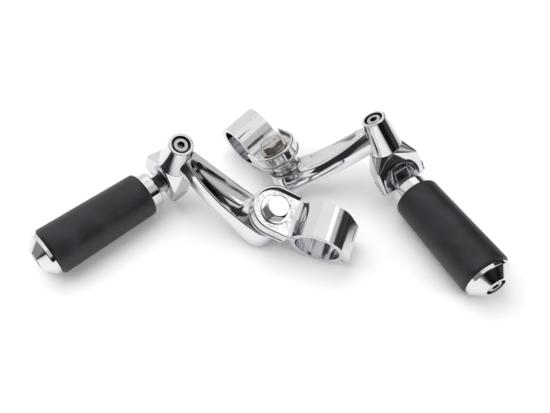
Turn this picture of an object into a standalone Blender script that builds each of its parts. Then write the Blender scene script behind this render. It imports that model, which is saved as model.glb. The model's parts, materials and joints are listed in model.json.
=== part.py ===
"""Pair of chrome highway pegs with offset arms and tube clamps.

Each peg folds on a clevis, the clevis turns under the arm's barrel, and a two-part clamp turns on
the arm's neck. The right peg is the mirror image of the left one. Sizes are in millimetres.
"""

import math

import bmesh
import bpy
from mathutils import Euler, Matrix, Vector

MM = 0.001
GAP = 0.3                      # clearance between pieces that touch on the real pegs

# Arm casting, measured from the middle of the barrel's top face
ARM_REACH = 77.5               # barrel axis to clamp bolt axis
BARREL_TOP_R = 8.5
BARREL_BOTTOM_R = 12.5
BARREL_H = 26.7
BARREL_EDGE = 0.6              # rounded rims of the barrel
COUNTERBORE_R = 6.6
COUNTERBORE_DEPTH = 7.0
BEAM_RIM = 1.5                 # flat border beside the dished top
BEAM_DISH = 2.2                # depth of the dished top
DISH_START = 13.0
DISH_END = 63.0
BEAM_CORNER_R = 3.0            # rounded lower edges
BEAM_LEAN_PEG_SIDE = 0.23      # sideways lean of the wall for each millimetre down
BEAM_LEAN_FAR_SIDE = 0.10
BEAM_STATIONS = 18
BEAM_START = 1.0               # the beam's inner end, inside the barrel
DISH_STEEPNESS = 2.2           # how soon the dish reaches its full depth
DISH_FULLNESS = 0.7            # power of the dish's curve: lower is fuller
NECK_R = 10.0
NECK_TOP = -7.0
NECK_FLANGE_R = 12.5
NECK_FLANGE_H = 2.0
NECK_FOOT_R = 13.0
NECK_FOOT_Z = -20.5
NECK_EDGE = 0.6
NECK_UNDERCUT = 1.5            # slope from the flange to the neck
NECK_FLARE_R = 4.0             # hollow curve where the neck widens to its foot
NECK_FLARE_OUT = 1.0           # its middle from the foot's wall
NECK_FLARE_UP = 5.5            # and above the foot
NECK_FLARE_SPAN = 180, 250     # and the degrees that it covers
NECK_FOOT_H = 4.0
NECK_DEPTH = 30.0              # bottom of the neck's core, inside the beam's foot
PAST = 1.0                     # how far a cutter runs past what it cuts
DRILL_TIP = 1.5                # length of the cone that a drill leaves

# The beam seen from above at its middle height, peg side and far side, its top line on the peg side,
# how far the top falls from there to the far side, and its bottom line
BEAM_PEG_SIDE = ((0, -4.5), (8, -5.8), (25, -9.1), (45, -11.5), (65, -14.1), (76, -14.0))
BEAM_FAR_SIDE = ((0, 5.4), (8, 6.0), (25, 7.3), (45, 8.7), (65, 9.8), (76, 10.0))
BEAM_MID_Z = -14.0
BEAM_TOP = ((0, -6.4), (8, -7.1), (25, -12.0), (45, -16.7), (58, -17.0), (90, -17.0))
BEAM_TILT = ((0, 0.2), (25, 0.8), (45, 1.4), (60, 3.0), (90, 3.0))
BEAM_BOTTOM = ((0, -23.6), (8, -24.6), (25, -27.2), (45, -29.5), (60, -30.2), (78, -34.7), (90, -33.6))
FOOT_END = 89.0                # outer end of the rounded foot
FOOT_SHARE = 0.12              # width of the foot's outermost section as a share of the full width

# Socket head screws in the barrel and in the end cap
SCREW_HEAD_R = 5.1
SCREW_HEAD_H = 5.6
SCREW_SHANK_R = 3.0
SCREW_HEX = 5.0                # across flats
SCREW_HEX_DEPTH = 3.2
SCREW_SINK = 0.7               # head below the rim of its counterbore
SCREW_EDGE = 0.5
SWIVEL_SCREW_REACH = 10.0      # thread below the barrel, in the clevis
SWIVEL_SOCKET_TURN = 12        # how the hexagon sockets happen to stand, in degrees
CAP_SOCKET_TURN = 8

# Clamp, measured from the bolt axis, bore along Y
TUBE_D = 31.75
RING_WALL = 3.3
RING_W = 26.9
RING_R = TUBE_D / 2
RING_OUTER = RING_R + RING_WALL
RING_X = 36.8                  # bolt axis to tube axis
SPLIT_Z = 0.7                  # the halves part at the tube's middle
SPLIT_OPEN = 1.1               # gap between the halves on the cup's side and at the hooked end
LIP_X = 55.2                   # the halves meet from the tube to here
CUP_R = 17.0
CUP_WALL = 1.8
CUP_LEG = 14.0                 # how far the cup's legs run past the bolt axis
CUP_RIM_Z = 4.8
CUP_STEP = 0.7                 # the lower band of the cup stands out by this much
CUP_STEP_H = 3.0
CUP_LEDGE = 0.8                # the band starts this much above the cup's underside
CUP_LEG_EASE = 0.3             # and ends this much short of the legs
CUP_FILLET = 3.0
CUP_BOTTOM_Z = NECK_TOP + GAP
EAR_H = 3.4                    # upper ear
EAR_DROP = 2.5                 # the ear's underside below the parting plane
EAR_FILLET = 5.0
EAR_TOP_Z = SPLIT_Z - EAR_DROP + GAP / 2 + EAR_H
EAR_STEP_X = 15.6              # where both halves step from the ear's level to the parting plane
EAR_SHOULDER = 3.0             # length over which the ear narrows to the ring's width
LUG_X = 60.0                   # outer face of the hooked end
LUG_H = 2.8                    # straight height of that face on each half
LUG_ROUND = 4.5                # round from the face to the ring
TONGUE_W = 9.4
TONGUE_T = 2.6
TONGUE_DOWN = 2.4              # reach of the tongue below the parting plane
TONGUE_Y = 4.2                 # tongue off the middle of the ring's width
TONGUE_BACK = 0.5              # its outer face behind the lug's outer face
NOTCH_GAP = 0.6                # clearance round the tongue in its notch
BOLT_FLATS = 15.5
BOLT_HEAD_H = 5.5
BOLT_SHANK_R = 4.9
BOLT_LENGTH = 24.0
BOLT_TURN = 20                 # how the hexagon happens to stand, in degrees
BOLT_CROWN = 1.4               # height of the crown on the hexagon's corners
BOLT_CROWN_IN = 1.9            # and its reach inwards
WASHER_R = 10.6
WASHER_H = 1.2
WASHER_EDGE = 0.25

# Clevis, measured from the barrel axis, X towards the peg
PIN_X = 4.0
PIN_DROP = 28.3                # pin below the barrel
CLEVIS_HALF_W = 17.5
CLEVIS_FRONT = 12.4
EAR_LOBE_R = 7.6               # ear outline round the pin
EAR_LOBE_SPAN = -10, -170      # and the degrees that it covers
EAR_SHOULDER_FRONT = -38.0
EAR_SHOULDER_BACK = -43.0
CLEVIS_EDGE = 0.7              # rounded edges of the block
BROW_HALF_W = 8.0              # flat brow over the scoop
BROW_DROP = 7.0
SLOT_W = 12.4
SLOT_TOP = -40.5
SCOOP_UP = 1.7                 # middle of the scoop above the pin
SCOOP_R = 16.15
SCOOP_INNER_R = 8.0
SCOOP_DEPTH = 3.2
PIN_R = 4.0
PIN_HEAD_R = 5.8
PIN_HEAD_H = 1.4
PIN_END = 2.2                  # pin past the ear, where the clip sits
CLIP_R = 6.2
CLIP_T = 0.9
CLIP_PLAY = 0.1                # between the clip's sides and its groove
CLIP_SEAT = 0.15               # between the clip and the groove's floor
CLIP_GROOVE = 0.6
CLIP_MOUTH = 3.4
PIN_EDGE = 0.4
PIN_HEAD_EDGE = 0.8
PIN_HEAD_CROWN = 0.2
PIN_HEAD_SIDE = 0.9            # straight side of the head under its edge

# Peg, measured from the pin, X along the peg
PEG_DROP = 3.3                 # the peg's own axis below the pin
TANG_W = 10.6
TANG_R = 7.0
HEEL_GAP = 0.6                 # heel of the tang below the slot's ceiling: it stops the peg level
HEEL_BACK = 2.0
HEEL_FRONT = 5.5
HEEL_TOE = 1.5
TANG_BACK_SPAN = 130, 250      # degrees that the tang's round back covers
SPRING_T = 0.8
SPRING_R = 6.6
SPRING_CLEAR = 0.15            # between the washer and the slot's side
COLLAR_BACK = 10.2
COLLAR_START = 12.7
COLLAR_R = 13.7
COLLAR_BACK_R = 7.6
COLLAR_EDGE = 0.4
RUBBER_START = 20.4
RUBBER_END = 98.6
RUBBER_R_INNER = 17.1
RUBBER_R_OUTER = 17.8
RUBBER_EDGE = 2.2
CORE_R = 11.0
CAP_BAND = 2.7
CAP_R = 16.25
CAP_CONE = 6.8
CAP_FACE_R = 8.8
CAP_RECESS_R = 7.0
CAP_RECESS_DEPTH = 6.6
CAP_EDGE = 0.4
CAP_SCREW_LENGTH = 18.0

# How each peg stands on the table: place of the barrel's top face, lean, and how it is set
LEFT_PLACE = (-54.38, 2.37, 70.05)
LEFT_LEAN = (8.76, 25.88, -26.69)
LEFT_CLAMP_TURN = 10.8
LEFT_PEG_TURN = 108.4
LEFT_FOLD = 0.4
RIGHT_PLACE = (78.44, 25.39, 69.75)
RIGHT_LEAN = (5.23, 26.16, 174.92)
RIGHT_CLAMP_TURN = 46.5
RIGHT_PEG_TURN = 117.8
RIGHT_FOLD = 17.0

FINE = 28                      # facets round the large turned pieces
MEDIUM = 18
SMALL = 12


def clear_scene():
    for item in list(bpy.data.objects):
        bpy.data.objects.remove(item, do_unlink=True)


def principled(name, colour, roughness, metallic):
    material = bpy.data.materials.new(name)
    material.use_nodes = True
    shader = material.node_tree.nodes["Principled BSDF"]
    shader.inputs["Base Color"].default_value = (*colour, 1.0)
    shader.inputs["Roughness"].default_value = roughness
    shader.inputs["Metallic"].default_value = metallic
    return material


CHROME = (0.80, 0.81, 0.83), 0.08, 1.0
STEEL = (0.55, 0.54, 0.52), 0.3, 1.0
TARNISHED = (0.48, 0.42, 0.36), 0.4, 1.0
RUBBER = (0.025, 0.026, 0.028), 0.6, 0.0


def arc(cx, cy, radius, start, end, steps):
    """Points on an arc, in degrees, both ends included."""
    points = []
    for step in range(steps + 1):
        angle = math.radians(start + (end - start) * step / steps)
        points.append((cx + radius * math.cos(angle), cy + radius * math.sin(angle)))
    return points


def along(points, x):
    """Height at x of the straight runs between the points."""
    for (x0, y0), (x1, y1) in zip(points, points[1:]):
        if x <= x1:
            break
    share = min(max((x - x0) / (x1 - x0), 0.0), 1.0)
    return y0 + (y1 - y0) * share


def smooth_along(points, x, reach=5.0):
    """The same line, averaged over a short reach so that its corners are round."""
    samples = [along(points, x + reach * (k - 3) / 3) for k in range(7)]
    return sum(samples) / len(samples)


def prism(outline, low, high):
    """Closed solid of a flat outline in XY, between two heights."""
    bm = bmesh.new()
    base = bm.faces.new([bm.verts.new((x, y, low)) for x, y in outline])
    grown = bmesh.ops.extrude_face_region(bm, geom=[base])
    top = [v for v in grown["geom"] if isinstance(v, bmesh.types.BMVert)]
    bmesh.ops.translate(bm, verts=top, vec=(0, 0, high - low))
    bmesh.ops.recalc_face_normals(bm, faces=bm.faces)
    return bm


def turned(profile, steps):
    """Solid of revolution about Z from (radius, height) points, closed at the axis or as a ring."""
    bm = bmesh.new()
    verts = [bm.verts.new((radius, 0, height)) for radius, height in profile]
    edges = [bm.edges.new(pair) for pair in zip(verts, verts[1:])]
    if profile[0][0] > 0:
        edges.append(bm.edges.new((verts[-1], verts[0])))
    bmesh.ops.spin(bm, geom=verts + edges, cent=(0, 0, 0), axis=(0, 0, 1), angle=math.tau,
                   steps=steps, use_merge=True)
    bmesh.ops.remove_doubles(bm, verts=bm.verts, dist=0.001)
    bmesh.ops.recalc_face_normals(bm, faces=bm.faces)
    return bm


def lie_along_x(bm):
    """Turn a piece made about Z so that its axis runs along X."""
    bmesh.ops.rotate(bm, verts=bm.verts, matrix=Matrix.Rotation(math.pi / 2, 3, "Y"))
    return bm


def lie_along_y(bm):
    """Turn a piece made about Z so that its axis runs along Y."""
    bmesh.ops.rotate(bm, verts=bm.verts, matrix=Matrix.Rotation(-math.pi / 2, 3, "X"))
    return bm


def moved(bm, x=0.0, y=0.0, z=0.0):
    bmesh.ops.translate(bm, verts=bm.verts, vec=(x, y, z))
    return bm


def mirrored(bm):
    bmesh.ops.scale(bm, verts=bm.verts, vec=(1, -1, 1))
    bmesh.ops.reverse_faces(bm, faces=bm.faces)
    return bm


class Side:
    """One peg with its bracket. The hand is 1 on the left and -1, its mirror image, on the right."""

    def __init__(self, name, hand, place, lean, clamp_turn, peg_turn, fold):
        self.name = name
        self.hand = hand
        self.bracket = self.frame("bracket", None, place, lean)
        self.clamp = self.frame("clamp", self.bracket, (ARM_REACH, 0, 0), (0, 0, hand * clamp_turn))
        self.clevis = self.frame("clevis", self.bracket, (0, 0, 0), (0, 0, -hand * peg_turn))
        pin_place = (PIN_X, 0, -BARREL_H - PIN_DROP)
        self.peg = self.frame("peg", self.clevis, pin_place, (0, fold, 0))

    def frame(self, name, parent, place, turn):
        empty = bpy.data.objects.new(f"{self.name}_{name}_frame", None)
        bpy.context.collection.objects.link(empty)
        empty.parent = parent
        empty.location = Vector(place) * MM
        empty.rotation_euler = Euler([math.radians(angle) for angle in turn])
        return empty

    def piece(self, name, bm, frame, finish=None, sharp=35):
        """Make an object of a shape. A shape without a finish is a cutter."""
        if self.hand < 0:
            mirrored(bm)
        bmesh.ops.scale(bm, verts=bm.verts, vec=(MM, MM, MM))
        full_name = f"{self.name}_{name}"
        mesh = bpy.data.meshes.new(full_name)
        bm.to_mesh(mesh)
        bm.free()
        thing = bpy.data.objects.new(full_name, mesh)
        bpy.context.collection.objects.link(thing)
        thing.parent = frame
        if finish is None:
            thing.display_type = "WIRE"
            thing.hide_render = True
            return thing
        mesh.materials.append(principled(full_name, *finish))
        mesh.shade_smooth()
        mesh.set_sharp_from_angle(angle=math.radians(sharp))
        return thing


def combine(thing, other, operation):
    modifier = thing.modifiers.new(f"{operation.lower()}_{other.name}", "BOOLEAN")
    modifier.operation = operation
    modifier.solver = "EXACT"
    modifier.object = other


def join(thing, *others):
    for other in others:
        combine(thing, other, "UNION")


def cut(thing, *others):
    for other in others:
        combine(thing, other, "DIFFERENCE")


def soften(thing, width, segments=1, angle=40):
    modifier = thing.modifiers.new("soft_edges", "BEVEL")
    modifier.width = width * MM
    modifier.segments = segments
    modifier.limit_method = "ANGLE"
    modifier.angle_limit = math.radians(angle)


def hexagon(flats, turn=0.0):
    corner = flats / math.sqrt(3)
    return [(corner * math.cos(math.radians(60 * k + turn)), corner * math.sin(math.radians(60 * k + turn)))
            for k in range(6)]


def beam_shape():
    """Loft the arm's beam: a dished top with crisp rims, leaning walls and rounded lower edges."""
    straight_end = BEAM_PEG_SIDE[-1][0]
    bm = bmesh.new()
    rings = []
    for station in range(BEAM_STATIONS + 1):
        # the last stations crowd together where the foot's end closes in a round
        turn = station / BEAM_STATIONS * math.pi / 2
        x = FOOT_END * math.sin(turn)
        closing = max(x - straight_end, 0.0) / (FOOT_END - straight_end)
        width_share = math.sqrt(max(1.0 - closing ** 2, 0.0))
        left = along(BEAM_PEG_SIDE, min(x, straight_end))
        right = along(BEAM_FAR_SIDE, min(x, straight_end))
        if x < straight_end:
            left = smooth_along(BEAM_PEG_SIDE, x)
            right = smooth_along(BEAM_FAR_SIDE, x)
        middle = (left + right) / 2
        half = (right - left) / 2 * max(width_share, FOOT_SHARE)
        rings.append(beam_section(bm, x, middle - half, middle + half))
    for ring_a, ring_b in zip(rings, rings[1:]):
        for k, vert in enumerate(ring_a):
            after = (k + 1) % len(ring_a)
            bm.faces.new((vert, ring_a[after], ring_b[after], ring_b[k]))
    bm.faces.new(rings[0])
    bm.faces.new(list(reversed(rings[-1])))
    bmesh.ops.recalc_face_normals(bm, faces=bm.faces)
    return bm


def beam_section(bm, x, left, right):
    top = smooth_along(BEAM_TOP, x)
    bottom = smooth_along(BEAM_BOTTOM, x)
    left_top = left + BEAM_LEAN_PEG_SIDE * (top - BEAM_MID_Z)
    far_top = top - smooth_along(BEAM_TILT, x)
    right_top = right - BEAM_LEAN_FAR_SIDE * (far_top - BEAM_MID_Z)
    left_foot = left + BEAM_LEAN_PEG_SIDE * (bottom - BEAM_MID_Z)
    right_foot = right - BEAM_LEAN_FAR_SIDE * (bottom - BEAM_MID_Z)
    share = min(max((x - DISH_START) / (DISH_END - DISH_START), 0.0), 1.0)
    dish = BEAM_DISH * min(1.0, DISH_STEEPNESS * math.sin(math.pi * share))
    radius = min(BEAM_CORNER_R, (right_foot - left_foot) / 3)
    rim = min(BEAM_RIM, (right_top - left_top) / 4)
    fall = (far_top - top) / (right_top - left_top)
    points = [(left_top, top), (left_top + rim, top + fall * rim)]
    for step in (1, 2, 3):
        across = rim + (right_top - left_top - 2 * rim) * step / 4
        sag = dish * math.sin(math.pi * step / 4) ** DISH_FULLNESS
        points.append((left_top + across, top + fall * across - sag))
    points += [(right_top - rim, far_top - fall * rim), (right_top, far_top)]
    points += arc(right_foot - radius, bottom + radius, radius, 0, -90, 3)
    points += arc(left_foot + radius, bottom + radius, radius, -90, -180, 3)
    return [bm.verts.new((x, y, z)) for y, z in points]


def make_arm(side):
    barrel = turned([(0, 0), (BARREL_TOP_R - BARREL_EDGE, 0), (BARREL_TOP_R, -BARREL_EDGE),
                     (BARREL_BOTTOM_R, -BARREL_H + BARREL_EDGE),
                     (BARREL_BOTTOM_R - BARREL_EDGE, -BARREL_H), (0, -BARREL_H)], FINE)
    arm = side.piece("arm", barrel, side.bracket, CHROME)
    beam = side.piece("beam_form", moved(beam_shape(), x=BEAM_START), side.bracket)
    under_flange = NECK_TOP - NECK_FLANGE_H
    flare_x, flare_z = NECK_FOOT_R + NECK_FLARE_OUT, NECK_FOOT_Z + NECK_FLARE_UP
    flare = arc(flare_x, flare_z, NECK_FLARE_R, *NECK_FLARE_SPAN, 3)
    rim = NECK_FLANGE_R - NECK_EDGE
    neck = turned([(0, NECK_TOP), (rim, NECK_TOP), (NECK_FLANGE_R, NECK_TOP - NECK_EDGE),
                   (NECK_FLANGE_R, under_flange), (NECK_R, under_flange - NECK_UNDERCUT)]
                  + flare + [(NECK_FOOT_R, NECK_FOOT_Z), (NECK_FOOT_R, NECK_FOOT_Z - NECK_FOOT_H),
                             (NECK_R, -NECK_DEPTH), (0, -NECK_DEPTH)], FINE)
    neck_form = side.piece("neck_form", moved(neck, x=ARM_REACH), side.bracket)
    join(arm, beam, neck_form)
    way = SCREW_SHANK_R + GAP
    seat = turned([(0, PAST), (COUNTERBORE_R, PAST), (COUNTERBORE_R, -COUNTERBORE_DEPTH),
                   (way, -COUNTERBORE_DEPTH), (way, -BARREL_H - PAST), (0, -BARREL_H - PAST)], MEDIUM)
    bolt_way = BOLT_SHANK_R + GAP
    bolt_end = EAR_TOP_Z + WASHER_H - BOLT_LENGTH - PAST
    thread = turned([(0, NECK_TOP + PAST), (bolt_way, NECK_TOP + PAST), (bolt_way, bolt_end),
                     (0, bolt_end - DRILL_TIP)], SMALL)
    cut(arm, side.piece("screw_seat", seat, side.bracket),
        side.piece("bolt_hole", moved(thread, x=ARM_REACH), side.bracket))
    return arm


def socket_screw(length):
    """Cap screw about Z with its head's top face at zero and a hexagon socket."""
    edge = SCREW_EDGE
    return turned([(0, 0), (SCREW_HEAD_R - edge, 0), (SCREW_HEAD_R, -edge), (SCREW_HEAD_R, -SCREW_HEAD_H),
                   (SCREW_SHANK_R, -SCREW_HEAD_H), (SCREW_SHANK_R, -length + edge),
                   (SCREW_SHANK_R - edge, -length), (0, -length)], MEDIUM)


def make_swivel_screw(side):
    length = BARREL_H + SWIVEL_SCREW_REACH - SCREW_SINK
    screw = side.piece("swivel_screw", moved(socket_screw(length), z=-SCREW_SINK), side.bracket, STEEL)
    socket = prism(hexagon(SCREW_HEX, SWIVEL_SOCKET_TURN), -SCREW_SINK - SCREW_HEX_DEPTH, PAST)
    cut(screw, side.piece("swivel_screw_socket", socket, side.bracket))
    return screw


def horseshoe(radius, leg, steps=14):
    """Outline open towards the tube: a half round and two straight legs."""
    return arc(0, 0, radius, 90, 270, steps) + [(leg, -radius), (leg, radius)]


def slab(outline, width):
    """Solid of an outline in X and height, centred across Y."""
    bm = prism([(x, -z) for x, z in outline], -width / 2, width / 2)
    return lie_along_y(bm)


def half_clamp(ear_start, ear_low, ear_high, step_x, fillet_r):
    """Outline of half a clamp, in X and height off the parting plane: ear, step, ring, lug and fillet."""
    apart = SPLIT_OPEN / 2
    meet = GAP / 2
    start, stop = (math.degrees(math.asin(height / RING_R)) for height in (apart, meet))
    points = [(ear_start, ear_low), (step_x, ear_low), (step_x, apart)]
    points += arc(RING_X, 0, RING_R, 180 - start, stop, 18)
    points += [(LIP_X, meet), (LIP_X, apart), (LUG_X, apart)]
    # a straight run touches both the lug's round and the ring
    lug_x = LUG_X - LUG_ROUND
    away = math.hypot(lug_x - RING_X, LUG_H)
    touch = math.degrees(math.atan2(LUG_H, lug_x - RING_X) + math.acos((RING_OUTER - LUG_ROUND) / away))
    points += arc(lug_x, LUG_H, LUG_ROUND, 0, touch, 3)
    fillet_z = ear_high + fillet_r
    fillet_x = RING_X - math.sqrt((RING_OUTER + fillet_r) ** 2 - fillet_z ** 2)
    lean = math.degrees(math.atan2(fillet_z, RING_X - fillet_x))
    points += arc(RING_X, 0, RING_OUTER, touch, 180 - lean, 11)
    points += arc(fillet_x, fillet_z, fillet_r, -lean, -90, 4)[1:]
    return points + [(ear_start, ear_high)]


def tongue_slab(outer, low, clearance):
    """The tongue, or with a clearance the notch that takes it, hung from the parting plane."""
    inner = LUG_X - TONGUE_BACK - TONGUE_T - clearance
    high = SPLIT_Z + SPLIT_OPEN
    outline = [(inner, low), (outer, low), (outer, high), (inner, high)]
    return moved(slab(outline, TONGUE_W + 2 * clearance), y=TONGUE_Y)


def make_clamp_lower(side):
    """The half with the cup that turns on the arm's neck, and the notch that the other half hooks in."""
    floor = SPLIT_Z - EAR_DROP - GAP / 2
    cup = side.piece("clamp_lower", prism(horseshoe(CUP_R, CUP_LEG), CUP_BOTTOM_Z, CUP_RIM_Z), side.clamp,
                     CHROME)
    band = prism(horseshoe(CUP_R + CUP_STEP, CUP_LEG - CUP_LEG_EASE), CUP_BOTTOM_Z + CUP_LEDGE,
                 CUP_BOTTOM_Z + CUP_STEP_H)
    under = SPLIT_Z - CUP_BOTTOM_Z - CUP_LEDGE
    ring = slab(half_clamp(0, SPLIT_Z - floor, under, EAR_STEP_X + GAP / 2, CUP_FILLET), RING_W)
    bmesh.ops.scale(ring, verts=ring.verts, vec=(1, 1, -1))
    bmesh.ops.reverse_faces(ring, faces=ring.faces)
    join(cup, side.piece("cup_band_form", band, side.clamp),
         side.piece("lower_ring_form", moved(ring, z=SPLIT_Z), side.clamp))
    hollow = prism(horseshoe(CUP_R - CUP_WALL, CUP_LEG + PAST), floor, CUP_RIM_Z + PAST)
    bolt_way = turned([(0, CUP_BOTTOM_Z - PAST), (BOLT_SHANK_R + GAP, CUP_BOTTOM_Z - PAST),
                       (BOLT_SHANK_R + GAP, floor + PAST), (0, floor + PAST)], SMALL)
    notch = tongue_slab(LUG_X + PAST, SPLIT_Z - TONGUE_DOWN - NOTCH_GAP, NOTCH_GAP)
    cut(cup, side.piece("cup_hollow", hollow, side.clamp),
        side.piece("lower_bolt_way", bolt_way, side.clamp),
        side.piece("tongue_notch", notch, side.clamp))
    return cup


def make_clamp_upper(side):
    """The half that the bolt presses down, with the tongue that hooks in the other half's notch."""
    ear_r = CUP_R - CUP_WALL - GAP
    ear_low = -EAR_DROP + GAP / 2
    outline = half_clamp(-ear_r - PAST, ear_low, ear_low + EAR_H, EAR_STEP_X - GAP / 2, EAR_FILLET)
    upper = side.piece("clamp_upper", moved(slab(outline, 2 * CUP_R), z=SPLIT_Z), side.clamp, CHROME)
    plan = arc(0, 0, ear_r, 90, 270, 14) + [(CUP_LEG, -ear_r), (CUP_LEG + EAR_SHOULDER, -RING_W / 2),
                                            (LUG_X + PAST, -RING_W / 2), (LUG_X + PAST, RING_W / 2),
                                            (CUP_LEG + EAR_SHOULDER, RING_W / 2), (CUP_LEG, ear_r)]
    plan_form = prism(plan, CUP_BOTTOM_Z, SPLIT_Z + RING_OUTER + PAST)
    combine(upper, side.piece("upper_plan", plan_form, side.clamp), "INTERSECT")
    tongue = tongue_slab(LUG_X - TONGUE_BACK, SPLIT_Z - TONGUE_DOWN, 0)
    join(upper, side.piece("tongue_form", tongue, side.clamp))
    bolt_way = turned([(0, CUP_BOTTOM_Z), (BOLT_SHANK_R + GAP, CUP_BOTTOM_Z),
                       (BOLT_SHANK_R + GAP, EAR_TOP_Z + PAST), (0, EAR_TOP_Z + PAST)], SMALL)
    cut(upper, side.piece("upper_bolt_way", bolt_way, side.clamp))
    return upper


def make_clamp_bolt(side):
    seat = EAR_TOP_Z + WASHER_H + 2 * GAP
    top = seat + BOLT_HEAD_H
    blank = prism(hexagon(BOLT_FLATS, BOLT_TURN), seat, top + PAST)
    head = side.piece("clamp_bolt", blank, side.clamp, TARNISHED)
    corner = BOLT_FLATS / math.sqrt(3)
    crown = turned([(0, seat - PAST), (corner + GAP, seat - PAST), (corner + GAP, top - BOLT_CROWN),
                    (corner - BOLT_CROWN_IN, top), (0, top)], FINE)
    combine(head, side.piece("bolt_crown", crown, side.clamp), "INTERSECT")
    tip = seat - BOLT_LENGTH
    shank = turned([(0, seat + PAST), (BOLT_SHANK_R, seat + PAST), (BOLT_SHANK_R, tip + DRILL_TIP),
                    (BOLT_SHANK_R - DRILL_TIP, tip), (0, tip)], SMALL)
    join(head, side.piece("bolt_shank", shank, side.clamp))
    return head


def make_clamp_washer(side):
    low = EAR_TOP_Z + GAP
    edge = WASHER_EDGE
    washer = turned([(BOLT_SHANK_R + GAP, low), (WASHER_R - edge, low), (WASHER_R, low + edge),
                     (WASHER_R, low + WASHER_H - edge), (WASHER_R - edge, low + WASHER_H),
                     (BOLT_SHANK_R + GAP, low + WASHER_H)], MEDIUM)
    return side.piece("clamp_washer", washer, side.clamp, TARNISHED)


def clevis_shape():
    """Faceted block between the round seat of the barrel and the flat outer faces of the two ears."""
    pin_z = -BARREL_H - PIN_DROP
    top = -BARREL_H - GAP
    lobe = arc(PIN_X, pin_z, EAR_LOBE_R, *EAR_LOBE_SPAN, 5)
    ear = [(CLEVIS_FRONT, EAR_SHOULDER_FRONT)] + lobe + [(PIN_X - EAR_LOBE_R, EAR_SHOULDER_BACK)]
    bm = bmesh.new()
    for x, y in arc(0, 0, BARREL_BOTTOM_R, 0, 360, MEDIUM)[:-1]:
        bm.verts.new((x, y, top))
    for x, z in ear:
        for hand in (1, -1):
            bm.verts.new((x, hand * CLEVIS_HALF_W, z))
    for hand in (1, -1):
        bm.verts.new((CLEVIS_FRONT, hand * BROW_HALF_W, -BARREL_H - BROW_DROP))
    bmesh.ops.convex_hull(bm, input=bm.verts)
    loose = [v for v in bm.verts if not v.link_faces]
    bmesh.ops.delete(bm, geom=loose, context="VERTS")
    bmesh.ops.dissolve_limit(bm, angle_limit=math.radians(1), verts=bm.verts, edges=bm.edges)
    bmesh.ops.recalc_face_normals(bm, faces=bm.faces)
    return bm


def make_clevis(side):
    pin_z = -BARREL_H - PIN_DROP
    clevis = side.piece("clevis", clevis_shape(), side.clevis, CHROME)
    soften(clevis, CLEVIS_EDGE, 2, 35)
    front, back, under = CLEVIS_FRONT + PAST, -BARREL_BOTTOM_R - PAST, pin_z - EAR_LOBE_R - PAST
    slot = slab([(back, SLOT_TOP), (front, SLOT_TOP), (front, under), (back, under)], SLOT_W)
    scoop_front = CLEVIS_FRONT + PAST
    spread = PAST * (SCOOP_R - SCOOP_INNER_R) / SCOOP_DEPTH
    scoop = lie_along_x(turned([(0, CLEVIS_FRONT - SCOOP_DEPTH), (SCOOP_INNER_R, CLEVIS_FRONT - SCOOP_DEPTH),
                                (SCOOP_R + spread, scoop_front), (0, scoop_front)], FINE))
    pin_way = lie_along_y(turned([(0, -CLEVIS_HALF_W - PAST), (PIN_R + GAP, -CLEVIS_HALF_W - PAST),
                                  (PIN_R + GAP, CLEVIS_HALF_W - PIN_HEAD_H - GAP),
                                  (PIN_HEAD_R + GAP, CLEVIS_HALF_W - PIN_HEAD_H - GAP),
                                  (PIN_HEAD_R + GAP, CLEVIS_HALF_W + PAST), (0, CLEVIS_HALF_W + PAST)],
                                 MEDIUM))
    reach = -BARREL_H - SWIVEL_SCREW_REACH - GAP
    thread = turned([(0, -BARREL_H + PAST), (SCREW_SHANK_R + GAP, -BARREL_H + PAST),
                     (SCREW_SHANK_R + GAP, reach), (0, reach - DRILL_TIP)], SMALL)
    cut(clevis, side.piece("tang_slot", slot, side.clevis),
        side.piece("front_scoop", moved(scoop, z=pin_z + SCOOP_UP), side.clevis),
        side.piece("pin_way", moved(pin_way, x=PIN_X, z=pin_z), side.clevis),
        side.piece("screw_thread", thread, side.clevis))
    return clevis


def make_pin(side):
    far = -CLEVIS_HALF_W - PIN_END
    groove_in = -CLEVIS_HALF_W - GAP
    groove_out = groove_in - CLIP_T - 2 * CLIP_PLAY
    head_in = CLEVIS_HALF_W - PIN_HEAD_H
    pin = turned([(0, far), (PIN_R - PIN_EDGE, far), (PIN_R, far + PIN_EDGE), (PIN_R, groove_out),
                  (PIN_R - CLIP_GROOVE, groove_out), (PIN_R - CLIP_GROOVE, groove_in), (PIN_R, groove_in),
                  (PIN_R, head_in), (PIN_HEAD_R, head_in), (PIN_HEAD_R, head_in + PIN_HEAD_SIDE),
                  (PIN_HEAD_R - PIN_HEAD_EDGE, CLEVIS_HALF_W), (0, CLEVIS_HALF_W + PIN_HEAD_CROWN)], MEDIUM)
    return side.piece("pivot_pin", moved(lie_along_y(pin), x=PIN_X, z=-BARREL_H - PIN_DROP), side.clevis,
                      STEEL)


def make_clip(side):
    """Open retaining ring in the groove at the pin's end."""
    low = -CLEVIS_HALF_W - GAP - CLIP_PLAY - CLIP_T
    inner = PIN_R - CLIP_GROOVE + CLIP_SEAT
    mouth = math.degrees(math.asin(CLIP_MOUTH / 2 / inner))
    outer_mouth = math.degrees(math.asin(CLIP_MOUTH / 2 / CLIP_R))
    outline = arc(0, 0, CLIP_R, outer_mouth, 360 - outer_mouth, 20)
    outline += list(reversed(arc(0, 0, inner, mouth, 360 - mouth, 20)))
    ring = lie_along_y(prism(outline, low, low + CLIP_T))
    return side.piece("pin_clip", moved(ring, x=PIN_X, z=-BARREL_H - PIN_DROP), side.clevis, STEEL)


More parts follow.
